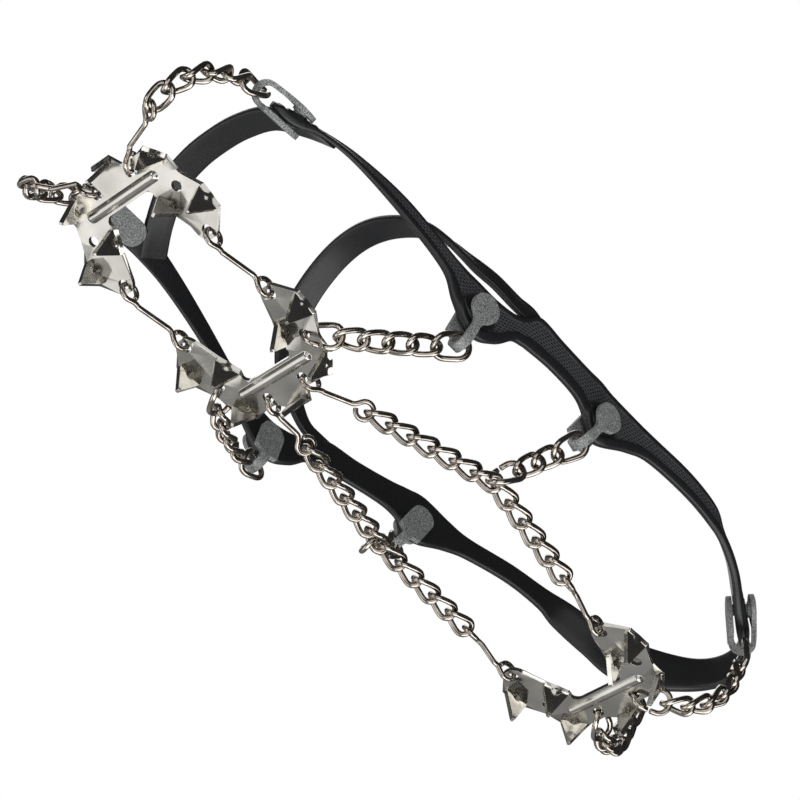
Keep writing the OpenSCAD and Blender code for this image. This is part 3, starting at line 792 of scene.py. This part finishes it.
def clip_rows():
    """Middle of the strip from the head to the end of the back leg: y, z and half width."""
    r = HEAD_D / 2
    neck = NECK * LEG_W / 2
    foot = FOOT * LEG_W / 2
    front = FACE_OUT + CLIP_T / 2
    back = FACE_IN - CLIP_T / 2
    rows = [(r * cosd(t), front, r * sind(t)) for t in range(8, HEAD_TURN + 1, 6)]
    start = Vector((r * cosd(HEAD_TURN), r * sind(HEAD_TURN)))
    corner = Vector((start.x + (start.y - neck) * math.tan(math.radians(HEAD_TURN)), neck))
    low = Vector((NECK_Y, neck))
    for i in range(1, 9):
        y, w = bezier(start, corner, low, i / 8)
        rows.append((y, front, w))
    for i in range(1, 5):
        rows.append((mix(low.x, -CLIP_DROP, i / 4), front, mix(neck, foot, i / 4)))
    bows = [CLIP_BOW * max(0, sind(180 * (y + CLIP_DROP) / (CLIP_DROP + 4))) for y, _, _ in rows]
    rows = [(y, z + bow, w) for (y, z, w), bow in zip(rows, bows)]
    for t in range(15, 180, 15):
        mid = BEND_R + CLIP_T / 2
        rows.append((-CLIP_DROP - mid * sind(t), BEND_Z + mid * cosd(t), mix(foot, LEG_W / 2, t / 180)))
    for i in range(0, 7):
        y = mix(-CLIP_DROP, -CLIP_DROP + BACK_SHOULDER, i / 6)
        rows.append((y, back, mix(LEG_W / 2, BACK_LEG_W / 2, ease(0, 1, i / 6))))
    rows += [(mix(-CLIP_DROP + BACK_SHOULDER, 0, i / 6), back, BACK_LEG_W / 2) for i in range(1, 6)]
    r = BACK_LEG_W / 2
    rows += [(r * sind(t), back, r * cosd(t)) for t in range(0, 85, 8)]
    return rows


def stud_lathe(bm):
    """Stud from the back leg to the head, with a collar under the head."""
    r = STUD_D / 2
    collar = r + STUD_COLLAR
    back = FACE_IN - CLIP_T / 2
    front = FACE_OUT + CLIP_T * 0.4
    steps = [(back, 0.2), (back, r), (FACE_OUT - 0.7, r), (FACE_OUT - 0.5, collar), (front, collar),
             (front, 0.2)]
    angles = [2 * math.pi * j / STUD_SIDES for j in range(STUD_SIDES)]
    rings = []
    for z, radius in steps:
        rings.append([bm.verts.new((radius * math.cos(a), radius * math.sin(a), z)) for a in angles])
    for low, high in zip(rings, rings[1:]):
        ring_wall(bm, low, high)
    bm.faces.new(rings[0][::-1])
    bm.faces.new(rings[-1])


def clip_strip(bm):
    columns = 10
    rings = []
    for y, z, w in clip_rows():
        rings.append([bm.verts.new((mix(-w, w, j / columns), y, z)) for j in range(columns + 1)])
    for low, high in zip(rings, rings[1:]):
        for j in range(columns):
            bm.faces.new((low[j], low[j + 1], high[j + 1], high[j]))


def hook_clip(name, side, material):
    bm = bmesh.new()
    clip_strip(bm)
    strip = new_object(f"{name}_strip_{side}", bm, material)
    sheet_metal(strip, CLIP_T, CLIP_EDGE, 3)
    settle(strip)
    bm = bmesh.new()
    stud_lathe(bm)
    face_out(bm)
    bmesh.ops.scale(bm, vec=(MM, MM, MM), verts=bm.verts[:])
    bm.from_mesh(strip.data)
    bmesh.ops.scale(bm, vec=(1 / MM, 1 / MM, 1 / MM), verts=bm.verts[:])
    bpy.data.objects.remove(strip)
    bm.transform(clip_matrix(name))
    if side == "right":
        bm.transform(ACROSS)
        bmesh.ops.reverse_faces(bm, faces=bm.faces[:])
    obj = new_object(f"{name}_hook_clip_{side}", bm, material, facing_out=True)
    return stand_for(settle(obj, CLIP_EDGE_ANGLE), f"{name}_clip_{side}")


# Harness: a moulded band with a smooth rim along both edges and a grained panel between them

HEEL = CLIPS["heel"][0]
REAR = CLIPS["rear"][0]
FRONT = CLIPS["front"][0]
TOE = CLIPS["toe"][0]
TOE_STRAP_Z = 62.5
INSTEP_Z = 77.5
# Stations: point, width above, width below, face-down tilt, share of the thickness
BAND = [
    (HEEL.x - 21.2, 0, HEEL.z + 3.4, 6.5, 6, -14, 1),
    (HEEL.x - 16.4, HEEL.y - 12.6, HEEL.z + 2.6, 6.6, 6.2, -16, 1),
    (HEEL.x, HEEL.y, HEEL.z, 7.6, TAB, -18.5, 1),
    (HEEL.x + 13.3, HEEL.y + 8, HEEL.z + 3.6, 6.2, 6.4, -27, 0.85),
    (-104, 38.3, 57.6, 5.2, 5.4, -28, 0.85),
    (-95, 40.6, 59, 4.3, 4.3, -5, 0.8),
    (-80, 42.6, 58.6, 3.9, 4.5, 6, 0.8),
    (REAR.x - 22.8, REAR.y, REAR.z + 8.8, 4.9, 4.2, 8, 0.8),
    (REAR.x - 13, REAR.y + 0.3, REAR.z + 6.4, 6.5, 6.7, 7, 0.85),
    (REAR.x, REAR.y + 0.4, REAR.z + 4.4, 8.3, TAB + 4.4, 5, 1),
    (REAR.x + 7, REAR.y + 1.8, REAR.z + 3.6, 8.2, 7.6, 5.5, 0.85),
    (REAR.x + 14, REAR.y + 3.2, REAR.z + 3, 7.1, 5.3, 6, 0.8),
    (-12, 50, 47.2, 6, 5.8, 8, 0.8),
    (-1, 51.3, 45.4, 6.7, 6.6, 9, 0.8),
    (4, 51.7, 43.8, 3.4, 6.6, 9.2, 0.82),
    (9, 51.9, 41.6, 2.3, 7, 9.5, 0.85),
    (FRONT.x - 6.5, FRONT.y + 0.4, FRONT.z + 6.6, 3.8, 10.6, 10, 0.9),
    (FRONT.x, FRONT.y + 0.7, FRONT.z + 4.3, 4.9, TAB + 4.3, 10, 1),
    (FRONT.x + 7, FRONT.y + 0.6, FRONT.z + 4.6, 5.1, 8.3, 8, 0.85),
    (FRONT.x + 17, FRONT.y + 0.2, FRONT.z + 7.8, 3.3, 3.7, 6, 0.75),
    (62, 49.8, 45.3, 3.9, 3.2, -6, 0.6),
    (82, 46.8, 49, 3.9, 3.6, -28, 0.5),
    (TOE.x - 9, TOE.y + 2.4, TOE.z + 2.2, 4.6, 4.4, -40, 0.5),
    (TOE.x, TOE.y, TOE.z, 5, 4.8, -42, 1),
    (TOE.x + TAB * 0.76, TOE.y - 0.6, TOE.z - 0.6, 4.2, 4.2, -42, 0.7),
    (TOE.x + TAB, TOE.y - 0.8, TOE.z - 0.8, 2.6, 2.6, -42, 0.55)]
TOE_STRAP = [
    (TOE.x - 13, TOE.y + 3, TOE.z + 2, STRAP, STRAP, -36, 0.6),
    (TOE.x - 6, TOE.y * 0.87, mix(TOE.z, TOE_STRAP_Z, 0.45), STRAP, STRAP, -48, 0.68),
    (TOE.x + 0.5, TOE.y * 0.6, mix(TOE.z, TOE_STRAP_Z, 0.82), STRAP, STRAP, -68, 0.68),
    (TOE.x + 3.2, TOE.y * 0.3, TOE_STRAP_Z - 0.7, STRAP, STRAP, -82, 0.68),
    (TOE.x + 3.8, 0, TOE_STRAP_Z, STRAP, STRAP, -90, 0.68)]
INSTEP_STRAP = [
    (-8, 50.1, FRONT.z + 17.7, STRAP - 2.6, STRAP - 2.6, 8, 0.4),
    (3, 52.2, FRONT.z + 18.2, STRAP - 1.8, STRAP - 1.8, 9, 0.66),
    (11, 51.8, FRONT.z + 18.3, STRAP - 2, STRAP - 2, 5, 0.68),
    (19, 49.9, mix(FRONT.z, INSTEP_Z, 0.45), STRAP - 1.5, STRAP - 1.5, -5, 0.68),
    (25.5, 47.3, mix(FRONT.z, INSTEP_Z, 0.5), STRAP - 0.7, STRAP - 0.7, -13, 0.68),
    (31, 44.4, mix(FRONT.z, INSTEP_Z, 0.562), STRAP - 0.5, STRAP - 0.5, -24, 0.68),
    (36, 40.4, mix(FRONT.z, INSTEP_Z, 0.65), STRAP - 0.4, STRAP - 0.4, -33, 0.68),
    (40.5, 34.5, mix(FRONT.z, INSTEP_Z, 0.752), STRAP, STRAP, -42, 0.68),
    (44.5, 24.5, mix(FRONT.z, INSTEP_Z, 0.87), STRAP, STRAP, -56, 0.68),
    (47.3, 12, INSTEP_Z - 1.6, STRAP, STRAP, -74, 0.68),
    (48.2, 0, INSTEP_Z, STRAP, STRAP, -90, 0.68)]
BAND_STEPS = 14
# Rings ahead and behind that give the band its direction
TURN_STEPS = 5


def other_side(s):
    return (s[0], -s[1], *s[2:])


def smooth_stations(raw, k):
    """Catmull-Rom through the stations, k steps each."""
    out = []
    n = len(raw)
    for i in range(n - 1):
        a, b, c, d = (raw[j] for j in (max(i - 1, 0), i, i + 1, min(i + 2, n - 1)))
        for j in range(k):
            t = j / k
            out.append([0.5 * (2 * q + (r - p) * t + (2 * p - 5 * q + 4 * r - s) * t ** 2
                               + (3 * q - p - 3 * r + s) * t ** 3) for p, q, r, s in zip(a, b, c, d)])
    return out + [list(raw[-1])]


def band_section(above, below, thick):
    """Points round the section: across, out, and 1 on the grained panel; the lower rim is a round ridge."""
    wide = above + below
    t = thick / 2
    rim_up = min(1.8, 0.2 * wide)
    rim_low = min(3.4, 0.3 * wide)
    ridge = 0.75 * rim_low
    fall = min(1.5, 0.8 * t)
    sunk = min(RECESS, 0.3 * t)
    r = min(EDGE_R, 0.3 * wide, 0.65 * t)
    pts = [(-above + r * (1 - cosd(a)), t - r * (1 - sind(a)), 0) for a in (0, 30, 60, 90)]
    pts += [(-above + rim_up - 0.25, t, 0), (-above + rim_up + 0.1, t - sunk * 0.55, 0)]
    start, end = -above + rim_up + 0.4, below - rim_low - 0.4
    pts += [(mix(start, end, i / 10), t - sunk, 1) for i in range(11)]
    pts += [(below - rim_low - 0.1, t - sunk * 0.55, 0), (below - rim_low + 0.2, t - sunk * 0.1, 0)]
    pts += [(below - ridge * (1 - cosd(a)), t - fall * (1 - sind(a)), 0) for a in range(90, -1, -15)]
    pts += [(below - r * (1 - cosd(a)), -t + r * (1 - sind(a)), 0) for a in (0, 30, 60, 90)]
    pts += [(mix(below - r, -above + r, i / 4), -t, 0) for i in range(1, 4)]
    pts += [(-above + r * (1 - cosd(a)), -t + r * (1 - sind(a)), 0) for a in (90, 60, 30, 0)]
    return pts


STUDS = [(m @ clip_matrix(name)).inverted() for name in CLIPS for m in (Matrix.Identity(4), ACROSS)]


def stud_distances(p):
    """Distances from the axis of the nearest stud, and from the middle of the pad below it."""
    best = (99, 99)
    for to_stud in STUDS:
        q = to_stud @ p
        if abs(q.z) < 6:
            best = min(best, (math.hypot(q.x, q.y), math.hypot(q.x, q.y + PAD_SHIFT)))
    return best


def pad_lift(p, depth):
    """Smooth pad, lip and eyelet rim round a stud, over the band's own face."""
    r, from_pad = stud_distances(p)
    lift = depth * (1 - ease(PAD_R - 1, PAD_R + 0.6, from_pad))
    lift += LIP_H * math.exp(-(((r - LIP_R) / 0.8) ** 2))
    return lift + BOSS_H * (1 - ease(BOSS_R - 0.7, BOSS_R, r)), ease(PAD_R - 0.3, PAD_R + 0.8, from_pad)


def sweep_band(bm, raw, strap, keep, grow):
    """Sweeps the section through the rings that keep(x) picks, and one more at a cut where grow is set."""
    uv = bm.loops.layers.uv.verify()
    panel = bm.verts.layers.float["panel"]
    s = smooth_stations(raw, BAND_STEPS)
    n = len(s)
    rings = []
    along = 0
    for i in range(n):
        p = Vector(s[i][:3])
        before, after = Vector(s[max(i - 1, 0)][:3]), Vector(s[min(i + 1, n - 1)][:3])
        along += (p - before).length
        if not (keep(p.x) or grow and (keep(before.x) or keep(after.x))):
            continue
        ahead, behind = (Vector(s[min(max(i + d, 0), n - 1)][:3]) for d in (TURN_STEPS, -TURN_STEPS))
        run = (ahead - behind).normalized()
        side = Vector((0, (p.y > 0) - (p.y < 0), 0)) if strap else run.cross(UP).normalized()
        face0 = cosd(s[i][5]) * side - sind(s[i][5]) * UP
        face = (face0 - face0.dot(run) * run).normalized()
        low = run.cross(face)
        thick = BAND_T * s[i][6]
        ring = []
        for q, h, grain in band_section(s[i][3], s[i][4], thick):
            point = p + q * low + h * face
            if h > thick / 4:
                lift, show = pad_lift(point, thick / 2 - h if grain else 0)
                point += lift * face
                grain *= show
            vert = bm.verts.new(point)
            vert[panel] = 0 if strap else grain
            ring.append((vert, along, q))
        rings.append((i, ring))
    caps = []
    for (i, low), (j, high) in zip(rings, rings[1:]):
        if j != i + 1:
            caps += [low, high]
            continue
        m = len(low)
        for a in range(m):
            b = (a + 1) % m
            corners = (low[a], low[b], high[b], high[a])
            made = bm.faces.new([c[0] for c in corners])
            for loop, c in zip(made.loops, corners):
                loop[uv].uv = (c[1], c[2])
    for ring in caps + [rings[0][1], rings[-1][1]]:
        bm.faces.new([c[0] for c in ring])


def harness_piece(name, material, keep, straps, grow):
    bm = bmesh.new()
    bm.verts.layers.float.new("panel")
    whole = BAND[:0:-1] + [BAND[0]] + [other_side(s) for s in BAND[1:]]
    sweep_band(bm, whole, False, keep, grow)
    for strap in straps:
        sweep_band(bm, strap + [other_side(s) for s in strap[-2::-1]], True, lambda x: True, False)
    obj = new_object(name, bm, material)
    settle(obj, BAND_EDGE_ANGLE)
    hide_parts("harness")
    return obj


# Materials


def linear(text):
    """sRGB hex to linear colour."""
    parts = [int(text[i:i + 2], 16) / 255 for i in (0, 2, 4)]
    return tuple(c / 12.92 if c <= 0.04045 else ((c + 0.055) / 1.055) ** 2.4 for c in parts) + (1,)


def node(tree, kind, links=(), **settings):
    """Adds a node; settings name its properties, or its inputs by name or by number as in_0."""
    made = tree.nodes.new(kind)
    for key, value in settings.items():
        if key.startswith("in_"):
            made.inputs[int(key[3:])].default_value = value
        elif hasattr(made, key):
            setattr(made, key, value)
        else:
            made.inputs[key.replace("_", " ")].default_value = value
    for source, target in links:
        tree.links.new(source, made.inputs[target])
    return made


def new_material(name):
    material = bpy.data.materials.new(name)
    material.use_nodes = True
    return material, material.node_tree, material.node_tree.nodes["Principled BSDF"]


def per_metre(size_mm):
    """Texture scale at which one feature is about this many millimetres."""
    return 1 / (size_mm * MM)


def colour_steps(tree, source, stops):
    ramp = node(tree, "ShaderNodeValToRGB", [(source, "Fac")])
    for i, (place_at, text) in enumerate(stops):
        if i > 1:
            ramp.color_ramp.elements.new(place_at)
        ramp.color_ramp.elements[i].position = place_at
        ramp.color_ramp.elements[i].color = linear(text)
    return ramp


def tumbled_stainless():
    """Stamped stainless sheet, tumbled bright: softly mottled, with more and less polished spots."""
    material, tree, skin = new_material("stainless_sheet_tumbled")
    skin.inputs["Metallic"].default_value = 1
    where = node(tree, "ShaderNodeTexCoord").outputs["Object"]
    mottle = node(tree, "ShaderNodeTexNoise", [(where, "Vector")], Scale=per_metre(14), Detail=3.0)
    ramp = colour_steps(tree, mottle.outputs["Fac"], [(0.3, "b4b1aa"), (0.7, "d2d0ca")])
    tree.links.new(ramp.outputs["Color"], skin.inputs["Base Color"])
    grit = node(tree, "ShaderNodeTexNoise", [(where, "Vector")], Scale=per_metre(3), Detail=4.0)
    rough = node(tree, "ShaderNodeMapRange", [(grit.outputs["Fac"], "Value")], To_Min=0.12, To_Max=0.24)
    tree.links.new(rough.outputs["Result"], skin.inputs["Roughness"])
    bump = node(tree, "ShaderNodeBump", [(mottle.outputs["Fac"], "Height")], Strength=0.2,
                Distance=0.5 * MM)
    tree.links.new(bump.outputs["Normal"], skin.inputs["Normal"])
    return material


def drawn_stainless():
    """Bright drawn stainless wire: smooth, in patches of darker, glossier and of paler, duller metal."""
    material, tree, skin = new_material("stainless_wire_drawn")
    skin.inputs["Metallic"].default_value = 1
    where = node(tree, "ShaderNodeTexCoord").outputs["Object"]
    mottle = node(tree, "ShaderNodeTexNoise", [(where, "Vector")], Scale=per_metre(4), Detail=4.0)
    ramp = colour_steps(tree, mottle.outputs["Fac"], [(0.32, "9a9188"), (0.68, "c9c2b9")])
    tree.links.new(ramp.outputs["Color"], skin.inputs["Base Color"])
    rough = node(tree, "ShaderNodeMapRange", [(mottle.outputs["Fac"], "Value")], To_Min=0.06, To_Max=0.16)
    tree.links.new(rough.outputs["Result"], skin.inputs["Roughness"])
    return material


def blasted_steel():
    """Strip steel, blasted matt: a grey skin with a fine pale and dark speckle."""
    material, tree, skin = new_material("steel_strip_blasted")
    skin.inputs["Metallic"].default_value = 0.3
    where = node(tree, "ShaderNodeTexCoord").outputs["Object"]
    # the real grain is near 0.2 mm: drawn coarser, so that it shows
    speck = node(tree, "ShaderNodeTexNoise", [(where, "Vector")], Scale=per_metre(0.42), Detail=2.0)
    ramp = colour_steps(tree, speck.outputs["Fac"], [(0.34, "585a59"), (0.5, "7f8180"), (0.66, "a8aba9")])
    tree.links.new(ramp.outputs["Color"], skin.inputs["Base Color"])
    rough = node(tree, "ShaderNodeMapRange", [(speck.outputs["Fac"], "Value")], To_Min=0.5, To_Max=0.68)
    tree.links.new(rough.outputs["Result"], skin.inputs["Roughness"])
    bump = node(tree, "ShaderNodeBump", [(speck.outputs["Fac"], "Height")], Strength=0.5,
                Distance=0.12 * MM)
    tree.links.new(bump.outputs["Normal"], skin.inputs["Normal"])
    return material


def moulded_elastomer():
    """Black thermoplastic elastomer, moulded: satin rims, and rows of short pits on the panels; the panels
    are painted lighter than the rims as painted light, and the pits painted darker as painted shade.
    """
    material, tree, skin = new_material("elastomer_moulded_black")
    where = node(tree, "ShaderNodeTexCoord")
    pits = node(tree, "ShaderNodeTexBrick", [(where.outputs["UV"], "Vector")], offset=0.5, Scale=1.0,
                Mortar_Size=0.3, Mortar_Smooth=0.3, Brick_Width=1.6, Row_Height=1.0)
    panel = node(tree, "ShaderNodeAttribute", attribute_name="panel")
    plain = node(tree, "ShaderNodeMath", [(pits.outputs["Fac"], 0)], operation="SUBTRACT", in_1=1.0)
    depth = node(tree, "ShaderNodeMath", [(plain.outputs[0], 0), (panel.outputs["Fac"], 1)],
                 operation="MULTIPLY")
    grain = node(tree, "ShaderNodeTexNoise", [(where.outputs["Object"], "Vector")], Scale=per_metre(0.5),
                 Detail=4.0)
    # Rims and panel are one black elastomer: the panel tone is painted lighter than the rim tone, as painted
    # light for the light its matte grained face catches; both tones also vary at random with the grain
    rim_tone = colour_steps(tree, grain.outputs["Fac"], [(0.3, "141416"), (0.7, "1f2022")])
    panel_grain_and_painted_light = colour_steps(tree, grain.outputs["Fac"], [(0.3, "353639"), (0.7, "47484b")])
    skin_tone = node(tree, "ShaderNodeMix", [(panel.outputs["Fac"], 0), (rim_tone.outputs["Color"], 6),
                                             (panel_grain_and_painted_light.outputs["Color"], 7)], data_type="RGBA")
    # Painted shade: the pits are painted darker, down to a tenth of the skin tone, besides being bumped in
    pit_painted_shade = node(tree, "ShaderNodeMapRange", [(depth.outputs[0], "Value")], From_Min=-1.0, From_Max=0.0,
                 To_Min=0.1, To_Max=1.0)
    tone = node(tree, "ShaderNodeMix", [(skin_tone.outputs[2], 6), (pit_painted_shade.outputs["Result"], 7)],
                data_type="RGBA", blend_type="MULTIPLY", in_0=1.0)
    tree.links.new(tone.outputs[2], skin.inputs["Base Color"])
    gloss = node(tree, "ShaderNodeMath", [(grain.outputs["Fac"], 0), (panel.outputs["Fac"], 1)],
                 operation="ADD")
    rough = node(tree, "ShaderNodeMapRange", [(gloss.outputs[0], "Value")], From_Min=0.3, From_Max=1.5,
                 To_Min=0.3, To_Max=0.62)
    tree.links.new(rough.outputs["Result"], skin.inputs["Roughness"])
    fine = node(tree, "ShaderNodeBump", [(grain.outputs["Fac"], "Height")], Strength=0.2, Distance=0.1 * MM)
    bump = node(tree, "ShaderNodeBump", [(depth.outputs[0], "Height"), (fine.outputs["Normal"], "Normal")],
                Strength=0.8, Distance=0.35 * MM)
    tree.links.new(bump.outputs["Normal"], skin.inputs["Normal"])
    return material


# Stage

CAMERA_X = Vector((-0.6764, 0.6726, 0.3002))
CAMERA_Y = Vector((0.6705, 0.3935, 0.6290))
CAMERA_Z = Vector((0.3050, 0.6267, -0.7171))
CAMERA_AT = Vector((378.2, 760.6, -835.8))
CAMERA_LENS = 165.4
CAMERA_SENSOR = 36
FLOOR_GAP = 0.2
FLOOR_HALF_M = 5
# Lamps: the way to the lamp, its distance and size in metres, and how bright its face is
LAMPS = {
    "key_below": ((0.45, -0.55, -0.7), 1.4, 1.1, 0.98),
    "front": ((0.42, 0.72, -0.55), 1.5, 1.4, 1.0),
    "heel_side": ((-0.82, 0.1, -0.56), 1.4, 0.9, 2.2),
    "low_front": ((-0.26, 0.17, -0.95), 1.5, 1.2, 2.4),
    "toe_side": ((0.95, 0.05, -0.3), 1.4, 0.6, 2.2),
    "overhead": ((0.2, -0.35, 0.9), 1.5, 1.0, 1.6),
}


def camera():
    data = bpy.data.cameras.new("camera")
    data.sensor_width = CAMERA_SENSOR
    data.lens = CAMERA_LENS
    data.clip_end = 20
    obj = bpy.data.objects.new("camera", data)
    bpy.context.collection.objects.link(obj)
    obj.matrix_world = place(CAMERA_AT * MM, CAMERA_X, CAMERA_Y, CAMERA_Z)
    bpy.context.scene.camera = obj


def floor():
    """Pale floor under the spikes, seen from above only, so that the view from below stays clear."""
    bm = bmesh.new()
    bmesh.ops.create_grid(bm, x_segments=2, y_segments=2, size=FLOOR_HALF_M)
    mesh = bpy.data.meshes.new("floor")
    bm.to_mesh(mesh)
    bm.free()
    obj = bpy.data.objects.new("floor", mesh)
    obj.location.z = cad_box[0].z - FLOOR_GAP * MM
    bpy.context.collection.objects.link(obj)
    material, tree, skin = new_material("floor_pale")
    skin.inputs["Base Color"].default_value = linear("f4f4f4")
    skin.inputs["Roughness"].default_value = 0.9
    clear = node(tree, "ShaderNodeBsdfTransparent")
    side = node(tree, "ShaderNodeNewGeometry")
    both = node(tree, "ShaderNodeMixShader", [(side.outputs["Backfacing"], 0), (skin.outputs[0], 1),
                                              (clear.outputs[0], 2)])
    tree.links.new(both.outputs[0], tree.nodes["Material Output"].inputs["Surface"])
    mesh.materials.append(material)
    obj.visible_shadow = False
    obj.visible_glossy = False
    obj.visible_diffuse = False
    obj.visible_transmission = False


def softbox(name, direction, distance, size, radiance):
    """Square lamp that faces the object; its power follows from how bright its face is."""
    data = bpy.data.lights.new(name, "AREA")
    data.shape = "SQUARE"
    data.size = size
    data.energy = math.pi * size * size * radiance
    obj = bpy.data.objects.new(name, data)
    bpy.context.collection.objects.link(obj)
    d = Vector(direction).normalized()
    obj.location = d * distance
    obj.rotation_mode = "QUATERNION"
    obj.rotation_quaternion = d.to_track_quat("Z", "Y")


def world():
    """White for the eye; metal sees the white backdrop in a dim studio; an even fill light for the rest."""
    made = bpy.data.worlds.new("studio")
    bpy.context.scene.world = made
    made.use_nodes = True
    tree = made.node_tree
    tree.nodes.clear()
    way = node(tree, "ShaderNodeTexCoord").outputs["Generated"]
    facing = node(tree, "ShaderNodeVectorMath", [(way, 0)], operation="DOT_PRODUCT",
                  in_1=tuple(-CAMERA_Z))
    backdrop = node(tree, "ShaderNodeMapRange", [(facing.outputs["Value"], "Value")], From_Min=0.93,
                    From_Max=0.985, To_Min=0.0, To_Max=1.0)
    below = node(tree, "ShaderNodeVectorMath", [(way, 0)], operation="DOT_PRODUCT",
                 in_1=(0.0, -0.6, -0.8))
    room = node(tree, "ShaderNodeMapRange", [(below.outputs["Value"], "Value")], From_Min=0.1, From_Max=0.8,
                To_Min=0.035, To_Max=0.34)
    rays = node(tree, "ShaderNodeLightPath")
    level = node(tree, "ShaderNodeMath", [(backdrop.outputs["Result"], 0), (room.outputs["Result"], 1)],
                 operation="MAXIMUM")
    level = node(tree, "ShaderNodeMath", [(level.outputs[0], 0), (rays.outputs["Is Camera Ray"], 1)],
                 operation="MAXIMUM")
    seen = node(tree, "ShaderNodeMath", [(rays.outputs["Is Camera Ray"], 0),
                                         (rays.outputs["Is Glossy Ray"], 1)], operation="MAXIMUM")
    seen = node(tree, "ShaderNodeMath", [(seen.outputs[0], 0), (rays.outputs["Is Transmission Ray"], 1)],
                operation="MAXIMUM")
    fill = node(tree, "ShaderNodeBackground", Strength=0.55)
    fill.inputs["Color"].default_value = (1, 1, 1, 1)
    show = node(tree, "ShaderNodeBackground", [(level.outputs[0], "Strength")])
    show.inputs["Color"].default_value = (1, 1, 1, 1)
    both = node(tree, "ShaderNodeMixShader", [(seen.outputs[0], 0), (fill.outputs[0], 1),
                                              (show.outputs[0], 2)])
    node(tree, "ShaderNodeOutputWorld", [(both.outputs[0], "Surface")])


def stage():
    camera()
    floor()
    world()
    for name, values in LAMPS.items():
        softbox(name, *values)


def build():
    sheet = tumbled_stainless()
    wire = drawn_stainless()
    strip = blasted_steel()
    rubber = moulded_elastomer()
    for name in PLATES:
        spiked_plate(name, sheet)
    for name, make in (("fore", fore_link), ("toe", toe_link), ("arch", arch_link), ("heel", heel_link)):
        sides(make, f"{name}_wire_link", wire, f"{name}_link")
    runs = (("toe", toe_chain), ("side", side_chain), ("arch", arch_chain), ("rear", rear_chain),
            ("branch", branch_chain), ("heel", heel_chain))
    for name, make in runs:
        sides(make, f"{name}_curb_chain", wire, f"{name}_chain")
    for name in CLIPS:
        for side in ("left", "right"):
            hook_clip(name, side, strip)
    rear = harness_piece("harness_heel_part", rubber, lambda x: x <= SPLIT_X, [INSTEP_STRAP], True)
    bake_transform(rear, "harness", "fore_links", start=(52 * MM, 0, 0), end=((SPLIT_X - 2) * MM, 0, 0))
    front = harness_piece("harness_toe_part", rubber, lambda x: x > SPLIT_X, [TOE_STRAP], False)
    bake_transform(front, "fore_links", "toe_plate", start=((SPLIT_X + 2) * MM, 0, 0), end=(100 * MM, 0, 0))


bpy.context.scene.view_settings.view_transform = "Standard"
stage()
build()
